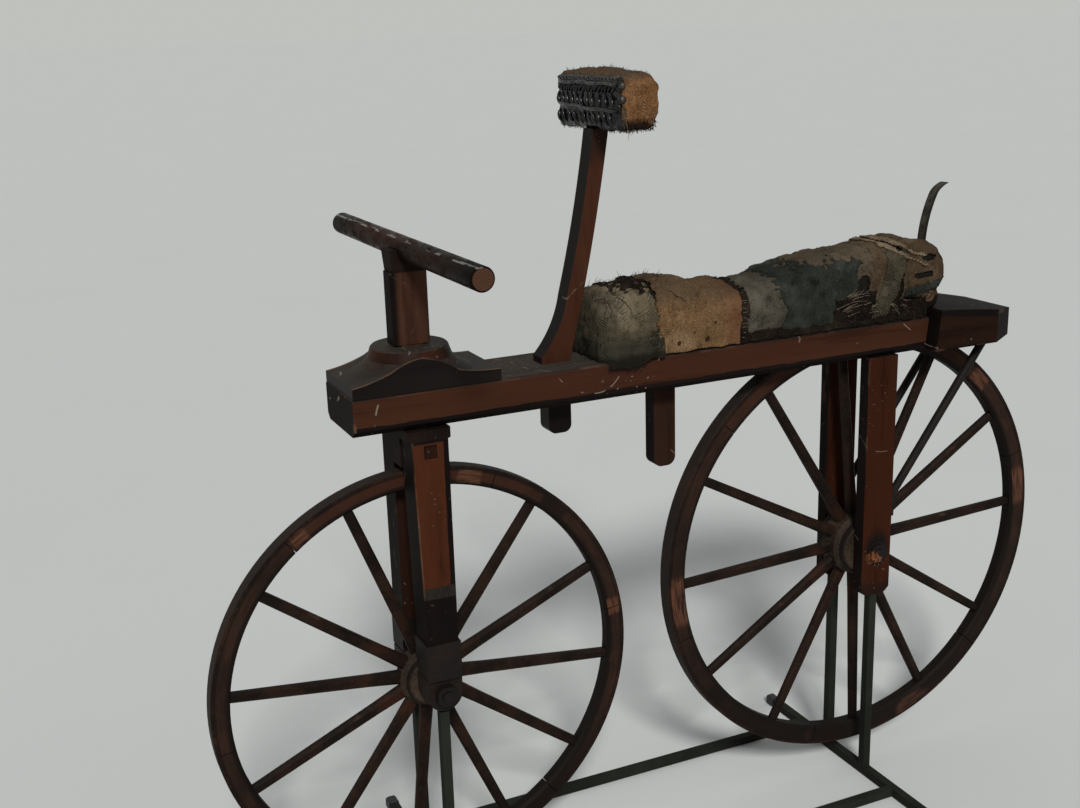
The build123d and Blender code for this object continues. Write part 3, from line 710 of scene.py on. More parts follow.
spots[:, 2] = mid_height + half_h * v * np.sqrt(1 - round_top * u ** 2 / 2)
move_points(cushion, spots)
pinned = spots[:, 2] < board_top + 0.003
for tie in ties:
    pinned |= np.abs(spots[:, 0] - rear_hub.x - tie) < 0.004
stuff(cushion, pinned, 0.009)

modify(cushion, "SUBSURF", levels=1, render_levels=1)
spots = read_points(cushion)
along = spots[:, 0] - rear_hub.x
free = ramp(spots[:, 2], board_top + 0.004, board_top + 0.022)
lumps = noise_at(spots, 17, 3.0) * 0.004 + noise_at(spots, 45, 8.0) * 0.0017
creases = -np.abs(noise_at(spots * np.array([1.0, 0.5, 0.5]), 34, 5.0, 2)) * 0.0032 + 0.001
pull = np.zeros(len(spots))
for tie in ties:
    pull -= 0.0032 * np.exp(-((along - tie) / 0.007) ** 2)
spots += read_points(cushion, "normal") * ((lumps + creases + pull) * (0.25 + 0.75 * free))[:, None]

rear_knob = (0.088, 0.092)
knob_reach = 0.034
knob_size = 0.011
away = np.hypot(along - rear_knob[0], spots[:, 2] - beam_top - rear_knob[1])
beside_strap = 1 - np.exp(-(spots[:, 1] / 0.022) ** 2)
knob = knob_size * np.exp(-(away / knob_reach) ** 2) * beside_strap
spots[:, 0] += knob
spots[:, 2] += knob * 0.7

pit_depth = 0.009
pit = ramp(oval(along, spots[:, 2] - beam_top, (0.046, 0.033), (0.015, 0.0075)), -0.25, 0.5)
spots[:, 1] += pit_depth * pit * (spots[:, 1] < -0.02)
spots[:, 2] = np.maximum(spots[:, 2], board_top + 0.0004)
over_tail = spots[:, 0] > tail_low.x - 0.001
spots[over_tail, 2] = np.maximum(spots[over_tail, 2], tail_high.z + 0.0008)
move_points(cushion, spots)


def laid_over(name, soft, inside, lift, thickness, material, lowest=0.0):
    """A sheet cut out where inside is above 0, lifted off the soft piece under it and thickened."""
    piece = duplicate(soft, name)
    points = read_points(piece) + read_points(piece, "normal") * np.reshape(lift, (-1, 1))
    points[:, 2] = np.maximum(points[:, 2], lowest)
    move_points(piece, points)
    kept = inside > 0
    spare = [not kept[list(face.vertices)].all() for face in piece.data.polygons]
    alone(piece)
    bpy.ops.object.mode_set(mode="EDIT")
    bpy.ops.mesh.select_mode(type="FACE")
    bpy.ops.object.mode_set(mode="OBJECT")
    piece.data.polygons.foreach_set("select", spare)
    bpy.ops.object.mode_set(mode="EDIT")
    bpy.ops.mesh.delete(type="FACE")
    bpy.ops.mesh.select_all(action="SELECT")
    bpy.ops.mesh.delete_loose()
    bpy.ops.object.mode_set(mode="OBJECT")
    modify(piece, "SOLIDIFY", thickness=thickness, offset=0.0)
    piece.data.materials.clear()
    piece.data.materials.append(material)
    return piece


def woven(name, base, light, dark, rib=0.0027, tilt=0.9, ribbed=0.5, hairy=0.0, stain=None):
    """Old wool cloth: felted, ribbed where the nap is gone, faded in clouds, with lint and dirt."""
    finish = Finish(name, Specular_IOR_Level=0.04)
    x, y, z = finish.xyz()
    fade = finish.cloud(14, detail=5, rough=0.6)
    dirt = finish.cloud(46, detail=5, rough=0.7)
    lint = finish.cloud(420, detail=3, rough=0.7)
    hair = finish.cloud(190, (1.0, 1.0, 0.4), detail=4, rough=0.8, bend=0.8)
    phase = (x * math.cos(tilt) + z * math.sin(tilt) + y * 0.6) * (2 * math.pi / rib) + fade * 26 + dirt * 5
    ribs = phase.math("SINE", phase) * finish.cloud(31, detail=3).rise(0.42, 0.62) * ribbed
    colour = finish.coats(
        base,
        (light, fade.rise(0.47, 0.7)),
        (dark, dirt.rise(0.5, 0.3) * 0.9),
        (light, ribs.rise(0.15, 0.5) * 0.5),
        (dark, (0 - ribs).rise(0.15, 0.5) * 0.7),
        (light, (hair * 0.55 + lint * 0.45).rise(0.51, 0.62) * (0.5 + 0.25 * hairy)),
        (dark, (hair * 0.4 + lint * 0.6).rise(0.48, 0.37) * 0.8),
    )
    if stain:
        colour = stain(finish, colour)
    relief = ribs * 0.5 + lint * (1.0 + hairy) + dirt * 0.9 + hair * (0.9 + hairy)
    return finish.lay(colour, 0.95, relief, 0.0019 + 0.0009 * hairy)


def front_stain(finish, colour):
    """The front wrap turns from dry grey above to dull green-grey below and at its front end, and carries
    painted shade along its lower edge by the beam.
    """
    x, _, z = finish.xyz()
    blot = finish.ragged(30, 0.05)
    low = (z - beam_top + blot).rise(0.052, 0.024)
    end = (x - rear_hub.x + blot).rise(-0.44, -0.458)
    # hem: the dark strip just above the beam is painted shade where the wrap meets the beam.
    hem = (z - beam_top + blot * 0.4).rise(0.013, 0.003)
    return finish.coats(
        colour, ((0.024, 0.0235, 0.0175), low.most(end * 0.6) * 0.85), ((0.0085, 0.0065, 0.005), hem * 0.7)
    )


moth_holes = (
    (-0.353, 0.015, 0.0042),
    (-0.308, 0.016, 0.0048),
    (-0.297, 0.039, 0.0036),
    (-0.33, 0.028, 0.0026),
)


def ochre_stain(finish, colour):
    """The ochre strip is scorched red-brown along its rear edge, moth-eaten, and dusted dark above."""
    x, y, z = finish.xyz()
    s, h = x - rear_hub.x, z - beam_top
    blot = finish.ragged(26, 0.05)
    coats = [((0.17, 0.068, 0.034), (s + blot).rise(-0.29, -0.262) * 0.6)]
    for along_strip, above_beam, size in moth_holes:
        away = distance(s - along_strip, h - above_beam) + blot * 0.12
        coats.append(((0.03, 0.014, 0.007), away.rise(size, size * 0.5) * y.rise(0.0, -0.01) * 0.9))
    coats.append(((0.075, 0.058, 0.038), (h + blot * 1.6).rise(0.052, 0.1) * 0.6))
    return finish.coats(colour, *coats)


core_cloth = woven("core_cloth", (0.0112, 0.0104, 0.0084), (0.026, 0.0245, 0.0195), (0.004, 0.0036, 0.003))
front_cloth = woven("front_cloth", (0.114, 0.088, 0.053), (0.18, 0.145, 0.095), (0.038, 0.031, 0.021),
                    tilt=-1.1, ribbed=0.9, stain=front_stain)
ochre_cloth = woven("ochre_cloth", (0.208, 0.118, 0.054), (0.32, 0.205, 0.112), (0.072, 0.034, 0.014),
                    ribbed=0.25, hairy=0.8, stain=ochre_stain)
blue_cloth = woven("blue_cloth", (0.066, 0.057, 0.042), (0.108, 0.096, 0.071), (0.024, 0.022, 0.017))
teal_cloth = woven("teal_cloth", (0.0235, 0.0262, 0.0208), (0.052, 0.056, 0.045), (0.0075, 0.008, 0.0066),
                   tilt=2.3, ribbed=0.9)
tan_cloth = woven("tan_cloth", (0.056, 0.037, 0.021), (0.13, 0.092, 0.057), (0.02, 0.012, 0.007),
                  ribbed=0.3)
pale_cloth = woven("pale_cloth", (0.15, 0.108, 0.066), (0.26, 0.2, 0.135), (0.05, 0.034, 0.021),
                   ribbed=0.3)
grey_cloth = woven("grey_cloth", (0.052, 0.043, 0.027), (0.09, 0.076, 0.052), (0.013, 0.011, 0.008),
                   rib=0.0034, ribbed=1.0)
dark_cloth = woven("dark_cloth", (0.01, 0.0068, 0.0048), (0.033, 0.023, 0.016), (0.0035, 0.0026, 0.0021))
brown_cloth = woven("brown_cloth", (0.075, 0.057, 0.037), (0.122, 0.094, 0.062), (0.026, 0.02, 0.014),
                    ribbed=0.3)
cushion.data.materials.append(core_cloth)

# The cloths that wrap the roll. Each is cut where its shape is above 0, in s behind the rear hub
# and h above the beam, with a torn edge; then come its height over the roll and its thickness.
least, most = np.minimum, np.maximum
fine, broad, ripple = noise_at(spots, 90, 2.0), noise_at(spots, 22, 6.0, 2), noise_at(spots, 60, 11.0)
spots = read_points(cushion)
s, h = spots[:, 0] - rear_hub.x, spots[:, 2] - beam_top
crown = least(least(s + 0.19, 0.03 - s), h - 0.074 - 0.1 * s)
teal = least(s + 0.186 + 0.16 * (h - 0.05), -0.052 - s - 0.25 * (0.075 - h))
torn = least(0.036 - abs(s + 0.06), 0.052 - h + 0.1 * (s + 0.06))
side_tan = least(0.015 - abs(s + 0.022 - 0.3 * (h - 0.06)), h - 0.036)
grey = least(0.019 - abs(s - 0.004 - 0.45 * (h - 0.06)), 0.104 - h)
rear = least(0.0075 - abs(h - 0.048 - 0.16 * (s - 0.055)), s - 0.028)
hem = least(0.026 - h + 0.16 * most(s + 0.09, 0), s + 0.1)
rear_tan = least(s - 0.02 - 0.1 * (h - 0.03), h - 0.04 + 0.1 * s) + 0.005 * fine
for rip, size in (((0.077, 0.091), (0.012, 0.003)), ((0.066, 0.067), (0.014, 0.0034))):
    rear_tan = least(rear_tan, -oval(s, h, rip, size) * 0.01)
fold_line = h - 0.119 + 0.45 * (s - 0.01)
folds = most(0.0045 - abs(fold_line), 0.0042 - abs(fold_line + 0.012))
sheets = (
    ("front", -0.38 - s + 0.009 * np.cos(h * 30) + 0.004 * fine, 0.0016, 0.0014, front_cloth),
    ("blue", least(s + 0.243 + 0.004 * fine, -0.15 - s + 0.012 * broad), 0.0016, 0.0014, blue_cloth),
    ("ochre", least(s + 0.388 + 0.006 * fine, -0.25 - s + 0.003 * fine), 0.0032, 0.0022, ochre_cloth),
    ("seam", 0.008 - abs(s + 0.2465) + 0.005 * fine, 0.004, 0.002, dark_cloth),
    ("crown", crown + 0.008 * fine, 0.0018, 0.0014, brown_cloth),
    ("teal", least(teal, 0.096 - h) + 0.01 * fine + 0.006 * broad, 0.0032, 0.0018, teal_cloth),
    ("torn", torn + 0.008 * fine, 0.0042, 0.0016, dark_cloth),
    ("side_tan", side_tan + 0.006 * fine, 0.0028, 0.0014, tan_cloth),
    ("grey", grey + 0.005 * fine, 0.0036, 0.0015, grey_cloth),
    ("rear_tan", rear_tan, 0.0026, 0.002, tan_cloth),
    ("folds", least(folds, least(s + 0.002, 0.072 - s)) + 0.0015 * fine, 0.0052, 0.0024, pale_cloth),
    ("rear", rear + 0.002 * fine, 0.0044, 0.0016, teal_cloth),
    ("hem", hem + 0.008 * fine, 0.0024, 0.0016, dark_cloth),
    ("thin_hem", least(0.0185 - h, s + 0.262) + 0.004 * fine, 0.003, 0.0012, dark_cloth),
    ("crest", least(least(s + 0.44, -0.358 - s), h - 0.09) + 0.014 * fine, 0.003, 0.002, dark_cloth),
)
wraps = []
for name, shape, rise, thickness, cloth in sheets:
    lift = rise + 0.0009 * ripple
    wraps.append(laid_over("wrap_" + name, cushion, shape, lift, thickness, cloth, lowest=board_top - 0.002))

front_way = -0.376
flap_half = cushion_high.y + 0.0012
flap_round = 0.024
flap_front = cushion_low.x - 0.0035
flap_thickness = 0.0014
flap_waver = 0.0022
ruffle_depth = 0.0016
side_run = rear_hub.x + front_way - flap_front - flap_round
turn_run = math.pi / 2 * flap_round
end_run = 2 * (flap_half - flap_round)
whole_run = 2 * (side_run + turn_run) + end_run


def round_the_end(run):
    """A place and its outward direction, along the near side, round the front end and back."""
    if run < side_run:
        return (flap_front + flap_round + side_run - run, -flap_half), (0, -1)
    if run < side_run + turn_run:
        turn = (run - side_run) / flap_round
        out = (-math.sin(turn), -math.cos(turn))
        return (flap_front + flap_round * (1 + out[0]), -flap_half + flap_round * (1 + out[1])), out
    if run < side_run + turn_run + end_run:
        return (flap_front, -flap_half + flap_round + run - side_run - turn_run), (-1, 0)
    (px, py), (ox, oy) = round_the_end(whole_run - run)
    return (px, -py), (ox, -oy)


def beside(side, start, inward=0.0045):
    """The way along one side of the roll, forward from start."""
    return lambda run: ((rear_hub.x + start - run, side * (flap_half - inward)), (0, side))


def front_sag(s, on_side):
    """The front wrap hangs lowest on the roll's sides, a little behind its front end."""
    return on_side * 0.0085 * ramp(s, -0.395, -0.425) * ramp(s, -0.512, -0.47)


def raised(rise):
    """A flap whose lower edge ends this far above where the board's edge would have it."""
    return lambda s, on_side: -rise


def hanging(name, way, length, sag, material, steps, rows=12, proud=0.0028, tuck=0.02):
    """Cloth that leaves the roll above the board and hangs over its edge, ruffled and uneven."""
    alone(cushion)
    bpy.ops.mesh.primitive_grid_add(x_subdivisions=steps, y_subdivisions=rows, size=2)
    piece = bpy.context.object
    piece.name = name
    spots = read_points(piece)
    top = board_top + tuck
    for i, (gx, gy, _) in enumerate(spots):
        run = (gx + 1) / 2 * length
        down = (1 - gy) / 2
        (px, py), out = way(run)
        on_side = abs(out[1])
        drop = 0.001 + sag(px - rear_hub.x, on_side)
        drop += flap_waver * on_side * noise.noise(Vector((px * 60, py * 9, 2.0)))
        z = top + (beam_top - drop * on_side + 0.0008 * (1 - on_side) - top) * down
        from_here = Vector((px, py, max(z, board_top + 0.004)))
        _, on_roll, normal, _ = cushion.closest_point_on_mesh(from_here)
        ruffle = ruffle_depth * math.sin(run * 260 + 3 * noise.noise(Vector((run * 30, 0, 0)))) * down
        spot = Vector((px, py, z)).lerp(on_roll + normal * proud, (1 - down) ** 1.6)
        spots[i] = spot + Vector((*out, 0)) * ruffle
    move_points(piece, spots)
    alone(piece)
    bpy.ops.object.mode_set(mode="EDIT")
    bpy.ops.mesh.select_all(action="SELECT")
    bpy.ops.mesh.normals_make_consistent(inside=False)
    bpy.ops.object.mode_set(mode="OBJECT")
    modify(piece, "SOLIDIFY", thickness=flap_thickness, offset=0.0)
    modify(piece, "SUBSURF", levels=1, render_levels=1)
    piece.data.materials.append(material)
    return piece


wraps.append(hanging("front_flap", round_the_end, whole_run, front_sag, front_cloth, 150))
for side in (-1, 1):
    ochre_way, low_way = beside(side, -0.2535), beside(side, 0.07, 0.0058)
    wraps.append(hanging("ochre_flap", ochre_way, 0.131, raised(0.0032), ochre_cloth, 56, 8, proud=0.004))
    wraps.append(hanging("low_flap", low_way, 0.322, raised(0.003), dark_cloth, 130, 6, tuck=0.006))

cushion = joined([cushion, *wraps], "cushion")
bpy.ops.object.shade_smooth()
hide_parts("seat_cushion")
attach(cushion, "frame")


# Loose threads of the seat: horsehair that has burst out of the front crest, frayed ends along
# the seams and the lower edge, and the pale stitches that hold the dark seam.
yarn_dice = random.Random(1820)


def tubes(name, routes, radius, taper, resolution=0):
    """A thin tube along each route; taper gives its thickness along it, from 0 to 1."""
    curve = bpy.data.curves.new(name, "CURVE")
    curve.dimensions = "3D"
    curve.bevel_depth = radius
    curve.bevel_resolution = resolution
    curve.use_fill_caps = True
    for route in routes:
        line = curve.splines.new("POLY")
        line.points.add(len(route) - 1)
        for step, (point, place) in enumerate(zip(line.points, route)):
            point.co = (*place, 1.0)
            point.radius = taper(step / (len(route) - 1))
    piece = bpy.data.objects.new(name, curve)
    scene.collection.objects.link(piece)
    alone(piece)
    bpy.ops.object.convert(target="MESH")
    return bpy.context.object


def strands(name, routes, radius, colour, gloss=0.1):
    """Yarn or hair along each route, tapered to its loose end."""
    piece = tubes(name, routes, radius, lambda t: 1.0 - 0.55 * t)
    finish = Finish(name, Specular_IOR_Level=gloss)
    speck = finish.cloud(500, detail=2)
    mottled = finish.coats(shade(colour, 0.55), (shade(colour, 1.45), speck.rise(0.3, 0.7)))
    piece.data.materials.append(finish.lay(mottled, 0.8, speck, 0.0003))
    return piece


def random_way():
    return Vector([yarn_dice.uniform(-1, 1) for _ in range(3)])


root_depth = 0.0012


def frayed(piece, inside, count, length, combed, lift, wander=0.5, droop=0.1, steps=6):
    """Routes of loose hairs, each rooted in the cloth where inside is true and combed one way."""
    points = read_points(piece)
    outward = read_points(piece, "normal")
    roots = np.flatnonzero(inside)
    routes = []
    for _ in range(count):
        root = int(roots[yarn_dice.randrange(len(roots))])
        at, out = Vector(points[root]), Vector(outward[root])
        way = Vector(combed) + out * lift + random_way() * wander
        step = length * yarn_dice.uniform(0.55, 1.25) / steps
        route = [at - out * root_depth]
        curl = random_way() * wander * 0.45
        for _ in range(steps):
            way = (way.normalized() + curl + Vector((0, 0, -droop))).normalized()
            at = at + way * step
            route.append(at.copy())
        routes.append(route)
    return routes


def between(values, low, high):
    return (values > low) & (values < high)


def on_side(s, h, side, proud):
    """The point of the seat's side at s behind the rear hub and h above the beam."""
    start = Vector((rear_hub.x + s, side * 0.2, beam_top + h))
    hit, place, normal, _ = cushion.ray_cast(start, Vector((0, -side, 0)))
    return place + normal * proud if hit else Vector((rear_hub.x + s, side * 0.05, beam_top + h))


bpy.context.view_layer.update()
s, y, h = (read_points(cushion) - np.array((rear_hub.x, 0, beam_top))).T
near_side = y < 0
crest_hair = frayed(cushion, between(s, -0.448, -0.352) & (h > 0.084), 520, 0.01, (0.5, 0, -0.1), 0.3)
crest_hair += frayed(cushion, between(s, -0.47, 0.05) & (h > 0.074), 220, 0.0042, (0.2, 0, 0), 0.3)
seam_hair = frayed(cushion, (abs(s + 0.2465) < 0.01) & (h > 0.01), 260, 0.007, (0, 0, -0.2), 0.4)
seam_hair += frayed(cushion, (abs(s + 0.06) < 0.036) & (h < 0.055), 260, 0.013, (0.4, 0, 0.3), 0.25)
seam_hair += frayed(cushion, between(s, 0.02, 0.1) & (h < 0.045), 160, 0.01, (0.3, 0, -0.3), 0.3)
low_hair = frayed(cushion, between(s, -0.262, 0.075) & (h < 0.022), 420, 0.008, (0.3, 0, -0.4), 0.3)
front_hair = frayed(cushion, (s < -0.455) & (h < 0.06), 240, 0.009, (0, 0, -0.5), 0.35)
front_hair += frayed(cushion, (s < -0.375) & (h < -0.002), 200, 0.006, (0, 0, -0.6), 0.1)

seam = -0.247
stitch_pitch = 0.0066
stitch_reach = 0.005
stitches = []
for side in (-1, 1):
    for k in range(10):
        height = 0.012 + stitch_pitch * k + yarn_dice.uniform(-0.0024, 0.0024)
        slant = yarn_dice.uniform(-0.0022, 0.0022)
        front_end = seam - stitch_reach + yarn_dice.uniform(0, 0.004)
        rear_end = seam + stitch_reach - yarn_dice.uniform(0, 0.003)
        places = ((front_end, height), (seam, height + slant * 0.5), (rear_end, height + slant))
        stitches.append([on_side(*place, side, 0.0009) for place in places])

torn = frayed(cushion, between(s, -0.092, -0.03) & between(h, 0.018, 0.05) & near_side,
              110, 0.024, (0.9, 0, 0.38), 0.12, wander=0.14, droop=0.0)
torn += frayed(cushion, between(s, 0.0, 0.035) & between(h, 0.02, 0.034) & near_side,
               30, 0.012, (0.7, 0, -0.3), 0.2, wander=0.2, droop=0.0)
torn += frayed(cushion, between(s, -0.402, -0.382) & (h > 0.08) & near_side, 22, 0.008, (-0.6, 0, -0.2), 0.3)
torn += frayed(cushion, between(s, -0.388, -0.378) & near_side, 26, 0.005, (-0.5, 0, -0.2), 0.3)

curly_ways = (
    ((-0.487, 0.08), (-0.48, 0.088), (-0.47, 0.09), (-0.463, 0.084), (-0.458, 0.074), (-0.462, 0.066)),
    ((-0.461, 0.086), (-0.455, 0.08), (-0.453, 0.07), (-0.458, 0.062), (-0.466, 0.062), (-0.464, 0.07)),
    ((-0.441, 0.092), (-0.437, 0.084), (-0.431, 0.078), (-0.426, 0.07), (-0.428, 0.064)),
    ((-0.398, 0.03), (-0.391, 0.034), (-0.385, 0.028), (-0.388, 0.02), (-0.396, 0.018), (-0.4, 0.025)),
    ((-0.394, 0.036), (-0.384, 0.036), (-0.378, 0.026), (-0.382, 0.015), (-0.392, 0.012)),
    ((-0.362, 0.088), (-0.356, 0.081), (-0.349, 0.078), (-0.344, 0.071)),
)
roll_front = -0.462
curly = [[on_side(max(s, roll_front), h, -1, 0.0012) for s, h in way] for way in curly_ways]

curl_middle = (0.077, 0.033)
curl_turns = 2.3
curl_size = 0.0085
curl_route = []
for share in np.linspace(1, 0, 34):
    angle = 2 * math.pi * curl_turns * share
    reach = curl_size * (0.12 + 0.88 * share)
    place = (curl_middle[0] + reach * math.cos(angle), curl_middle[1] + reach * math.sin(angle))
    curl_route.append(on_side(*place, -1, 0.0016))

threads = [
    strands("seat_rolled_edge", [curl_route], 0.0021, (0.085, 0.052, 0.028)),
    strands("seat_dark_hair", crest_hair + seam_hair, 0.00036, (0.026, 0.019, 0.014), 0.2),
    strands("seat_low_hair", low_hair + front_hair, 0.00042, (0.012, 0.009, 0.007)),
    strands("seat_pale_threads", torn, 0.00034, (0.21, 0.165, 0.115)),
    strands("seat_stitches", stitches, 0.0006, (0.14, 0.105, 0.074)),
    strands("seat_curly_threads", curly, 0.00065, (0.022, 0.013, 0.008)),
]
seat_threads = joined(threads, "seat_threads")
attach(seat_threads, "frame")


# The padded arm rest: a block of stuffing in worn brown cloth. Its front is covered with dark
# leather, plaited in rows between two rolled edges and held at each end by two dome nails.
pad_low, pad_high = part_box("arm_rest_pad")
pad_mid = np.array((pad_low + pad_high) / 2)
pad_half = np.array((pad_high - pad_low) / 2)
pad = soft_copy("arm_rest_pad", "arm_pad")
modify(pad, "REMESH", mode="VOXEL", voxel_size=0.0042)
u = np.clip((read_points(pad) - pad_mid) / pad_half, -1, 1)
across = np.abs(u[:, [0, 2]])
boxy = np.where(u[:, 0] < 0, 9.0, 3.6)
shrink = across.max(axis=1) / np.maximum((across.T ** boxy).sum(axis=0) ** (1 / boxy), 1e-6)
crowned = 0.962 + 0.038 * (1 - u[:, [1, 2, 0]] ** 2) * (1 - u[:, [2, 0, 1]] ** 2)
shaped = u * crowned
shaped[:, 0] *= shrink * np.where(u[:, 0] > 0, 1.1, 1.0)
shaped[:, 1] *= 1.035 - 0.05 * across.max(axis=1) ** 8
shaped[:, 2] *= np.where(u[:, 2] < 0, 0.3 * shrink + 0.7, shrink)
spots = pad_mid + pad_half * shaped
move_points(pad, spots)
stuff(pad, spots[:, 2] < pad_low.z + 0.006, 0.004)
modify(pad, "SUBSURF", levels=1, render_levels=1)
spots = read_points(pad)
lumps = noise_at(spots, 30, 1.0) * 0.0024 + noise_at(spots, 95, 4.0) * 0.0012
wave = spots[:, 0] * 190 + spots[:, 2] * 150 + 5 * noise_at(spots, 14, 9.0)
creases = -0.0022 * np.exp(-(np.sin(wave) / 0.22) ** 2) * ramp(np.abs(spots[:, 1]), 0.07, 0.084)
spots += read_points(pad, "normal") * (lumps + creases)[:, None]
spots[:, 2] = np.maximum(spots[:, 2], pad_low.z)
move_points(pad, spots)


def pad_stain(finish, colour):
    """The top is bleached and dusty; the cloth turns dark towards its lower edge."""
    z = finish.xyz()[2]
    blot = finish.ragged(34, 0.03)
    bleached = (z - pad_high.z + blot).rise(-0.016, -0.004) * 0.75
    darker_low = (z - pad_low.z + blot).rise(0.014, 0.005) * 0.9
    return finish.coats(colour, ((0.078, 0.06, 0.042), bleached), ((0.0075, 0.0045, 0.0032), darker_low))


pad_cloth = woven("pad_cloth", (0.225, 0.108, 0.045), (0.33, 0.19, 0.095), (0.056, 0.026, 0.011),
                  ribbed=0.4, hairy=0.5, stain=pad_stain)
pad.data.materials.append(pad_cloth)

finish = Finish("plaited_leather", Specular_IOR_Level=0.3)
z = finish.xyz()[2]
hide = finish.cloud(120, detail=4)
dust = finish.cloud(30, detail=4).rise(0.5, 0.68) * 0.28 + (z - pad_high.z).rise(-0.018, -0.006) * 0.25
leather_colour = finish.coats(
    (0.0022, 0.0024, 0.0026), ((0.013, 0.0125, 0.012), hide.rise(0.45, 0.7)), ((0.04, 0.033, 0.026), dust)
)
leather = finish.lay(leather_colour, 0.16 + hide * 0.16 + dust * 0.4, hide, 0.0006)

cover_edge = 0.0095
cover_half = 0.0895
spots = read_points(pad)
from_front, from_middle, height = spots[:, 0] - pad_low.x, np.abs(spots[:, 1]), spots[:, 2] - pad_low.z
covered = (from_front < cover_edge + 0.002 * noise_at(spots, 120, 3.0)) & (from_middle < cover_half)
covered &= spots[:, 2] < pad_high.z - 0.006
cover = laid_over("pad_cover", pad, covered, 0.0012, 0.0016, leather)
bpy.context.view_layer.update()


def on_front(y, z, proud=0.0):
    """The point of the cover's front at this height and this far to the side."""
    hit, place, _, _ = cover.ray_cast(Vector((-0.3, y, z)), Vector((1, 0, 0)))
    return (place if hit else Vector((pad_low.x + 0.006, y, z))) - Vector((proud, 0, 0))


def cords(name, routes, radius, swell):
    """Strips of leather cord along the routes."""
    piece = tubes(name, routes, radius, swell, resolution=2)
    piece.data.materials.append(leather)
    bpy.ops.object.shade_smooth()
    return piece


def level(start, end, count=40):
    """A rolled edge across the front, from start to end, each (to the side, height)."""
    ways = np.linspace(start, end, count + 1)
    return [on_front(y, z + 0.0008 * math.sin(90 * y), 0.0004) for y, z in ways]


def row(first, last, pitch, top, low, slant, steps=9):
    """One row of plaits between two heights, each leaning by slant and bowed outward."""
    routes = []
    y = first
    while y > last:
        route = []
        for share in np.linspace(0, 1, steps):
            bow = math.sin(math.pi * share) * 0.0016
            route.append(on_front(y + slant * (0.5 - share), top + (low - top) * share, bow))
        routes.append(route)
        y -= pitch * yarn_dice.uniform(0.92, 1.08)
    return routes


ridge_top = pad_low.z + 0.059
ridge_low = pad_low.z + 0.0262
edges = [level((0.084, ridge_top), (-0.084, ridge_top - 0.001)),
         level((0.086, ridge_low + 0.005), (-0.084, ridge_low - 0.001))]
plaits = row(0.08, -0.078, 0.0152, ridge_low + 0.0215, ridge_low + 0.0035, 0.0075)
ribs = row(0.078, -0.08, 0.0152, ridge_low - 0.003, pad_low.z + 0.0065, 0.0035)
small = row(0.082, -0.08, 0.0082, ridge_top - 0.0025, ridge_low + 0.0215, -0.006)
small += row(0.082, -0.08, 0.0102, pad_high.z - 0.0075, ridge_top + 0.0028, 0.006)
leather_parts = [
    cover,
    cords("pad_rolled_edges", edges, 0.0032, lambda t: 0.75 + 0.25 * math.sin(math.pi * t) ** 0.3),
    cords("pad_plaits", plaits, 0.0034, lambda t: 0.3 + 0.7 * math.sin(math.pi * t ** 1.5)),
    cords("pad_ribs", ribs, 0.003, lambda t: 0.35 + 0.65 * math.sin(math.pi * t)),
    cords("pad_small_plaits", small, 0.0018, lambda t: 0.45 + 0.55 * math.sin(math.pi * t)),
]

finish = Finish("nail_iron", Specular_IOR_Level=0.5, Metallic=0.6)
pitted = finish.cloud(260, detail=3)
nail_colour = finish.coats((0.02, 0.017, 0.014), ((0.062, 0.054, 0.044), pitted.rise(0.4, 0.65)))
nail_iron = finish.lay(nail_colour, 0.38 + pitted * 0.2, pitted, 0.0004)
nail_side = 0.0885
for side in (-1, 1):
    for nail_height, size in ((0.0565, 0.0048), (0.04, 0.0054)):
        start = Vector((-0.2, side * 0.17, pad_low.z + nail_height))
        corner = Vector((pad_low.x + 0.004, side * nail_side, pad_low.z + nail_height))
        hit, place, _, _ = pad.ray_cast(start, (corner - start).normalized())
        outward = Vector((-0.5, side * 0.85, 0.1)).normalized()
        bpy.ops.object.select_all(action="DESELECT")
        bpy.ops.mesh.primitive_uv_sphere_add(segments=24, ring_count=14, radius=size, location=(0, 0, 0))
        nail = bpy.context.object
        dome = read_points(nail)
        dome[:, 2] *= np.where(dome[:, 2] > 0, 0.75, 0.25)
        turn = np.array(outward.to_track_quat("Z", "Y").to_matrix())
        move_points(nail, dome @ turn.T + np.array(place + outward * 0.0004))
        nail.data.materials.append(nail_iron)
        bpy.ops.object.shade_smooth()
        leather_parts.append(nail)
pad_leather = joined(leather_parts, "pad_plaited_leather")
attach(pad_leather, "frame")

low_tufts = frayed(pad, (height < 0.009) & (from_middle > 0.03), 620, 0.005, (0.3, 0, -0.4), 0.3)
top_tufts = frayed(pad, height > 0.066, 420, 0.0042, (0.2, -0.3, 0.0), 0.3)
low_tufts += frayed(pad, (from_middle > 0.082) & (height < 0.016), 200, 0.006, (0.3, 0, -0.5), 0.25)
corner_ways = []
for side in (-1, 1):
    for k in range(5):
        spread = side * (0.0905 + 0.0006 * (k % 3))
        start = Vector((pad_low.x + 0.004 + 0.0012 * k, spread, pad_low.z + 0.034 - 0.003 * k))
        drop = yarn_dice.uniform(0.016, 0.034)
        waves = [(0.002 * math.sin(5 * t + k), side * 0.0014 * t, -drop * t) for t in np.linspace(0, 1, 8)]
        corner_ways.append([start + Vector(wave) for wave in waves])
pad_threads = [
    strands("pad_dark_hair", low_tufts, 0.0004, (0.016, 0.011, 0.008)),
    strands("pad_dusty_hair", top_tufts, 0.0003, (0.085, 0.066, 0.048)),
    strands("pad_corner_threads", corner_ways, 0.0006, (0.085, 0.06, 0.04)),
]
pad_fringe = joined(pad_threads, "pad_threads")
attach(pad_fringe, "frame")
alone(pad)
bpy.ops.object.shade_smooth()
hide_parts("arm_rest_pad")
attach(pad, "frame")


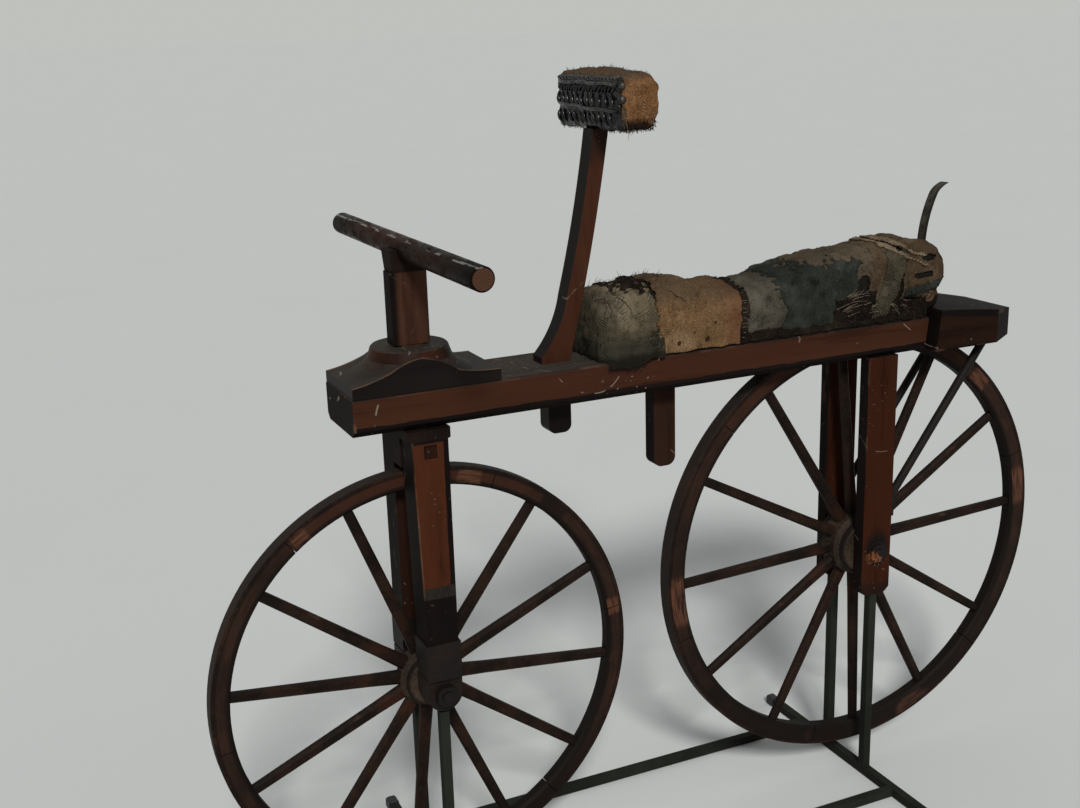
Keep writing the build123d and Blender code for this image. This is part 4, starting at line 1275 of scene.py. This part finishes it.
# The strap behind the cushion: a strip of dried leather, its edges stitched, two holes punched.
finish = Finish("strap_leather", Specular_IOR_Level=0.2)
_, y, z = finish.xyz()
hide = finish.cloud(60, detail=5)
coats = [
    ((0.052, 0.044, 0.033), hide.rise(0.35, 0.65)),
    ((0.005, 0.0038, 0.003), abs(y).rise(0.005, 0.0066) * 0.9),
]
for hole_height in (0.128, 0.166):
    coats.append(((0.002, 0.002, 0.002), distance(y, z - beam_top - hole_height).rise(0.003, 0.0022)))
strap_colour = finish.coats((0.018, 0.014, 0.01), *coats)
paint(["seat_strap"], finish.lay(strap_colour, 0.65, hide, 0.0006))


# The room: a pale floor and a pale wall, one soft lamp high behind the camera, a dim sky all
# round, and a camera where the photograph was taken from. None of it belongs to the machine.
scene.view_settings.view_transform = "Standard"

camera_place = Vector((-0.936, -1.63, 1.2005))
camera_turn = math.radians(24.35)
camera_dip = math.radians(15.8)
camera_lean = math.radians(1.8)
photo_width = 1080
focal_length_px = 1356
sensor_width = 36.0
bpy.ops.object.camera_add(location=camera_place)
camera = bpy.context.object
camera.name = "camera"
camera.data.sensor_width = sensor_width
camera.data.lens = focal_length_px * sensor_width / photo_width
aim = Euler((math.pi / 2 - camera_dip, 0, -camera_turn)).to_matrix() @ Matrix.Rotation(-camera_lean, 3, "Z")
camera.rotation_euler = aim.to_euler()
scene.camera = camera

lamp_from = Vector((-0.24, -0.74, 0.63))
lamp_strength = 2.5
lamp_softness = 0.2
bpy.ops.object.light_add(type="SUN")
lamp = bpy.context.object
lamp.data.energy = lamp_strength
lamp.data.angle = lamp_softness
lamp.rotation_euler = lamp_from.to_track_quat("Z", "Y").to_euler()

sky_light = 0.34
wall_colour = (0.52, 0.535, 0.51)
world = bpy.data.worlds.new("sky")
scene.world = world
world.use_nodes = True
sky = Finish("sky", tree=world.node_tree)
ray = sky.node("LightPath").socket.node.outputs
shown = Value(sky, ray["Is Camera Ray"])
for kind in ("Is Glossy Ray", "Is Transmission Ray"):
    shown = shown.most(Value(sky, ray[kind]))
dim = sky.node("Background", {"Color": (0.95, 0.97, 1.0, 1.0), "Strength": sky_light})
pale = sky.node("Background", {"Color": (*wall_colour, 1.0), "Strength": 1.0})
both = sky.node("MixShader", {0: shown, 1: dim, 2: pale})
sky.feed(world.node_tree.nodes["World Output"].inputs["Surface"], both)

floor_size = 240.0
bpy.ops.mesh.primitive_plane_add(size=floor_size)
floor = bpy.context.object
floor.name = "floor"
finish = Finish("floor_paint", Specular_IOR_Level=0.15)
faint = finish.cloud(1.3, detail=6).rise(0.4, 0.7)
floor_colour = finish.coats((0.62, 0.635, 0.61), ((0.612, 0.627, 0.603), faint))
floor.data.materials.append(finish.lay(floor_colour, 0.8))
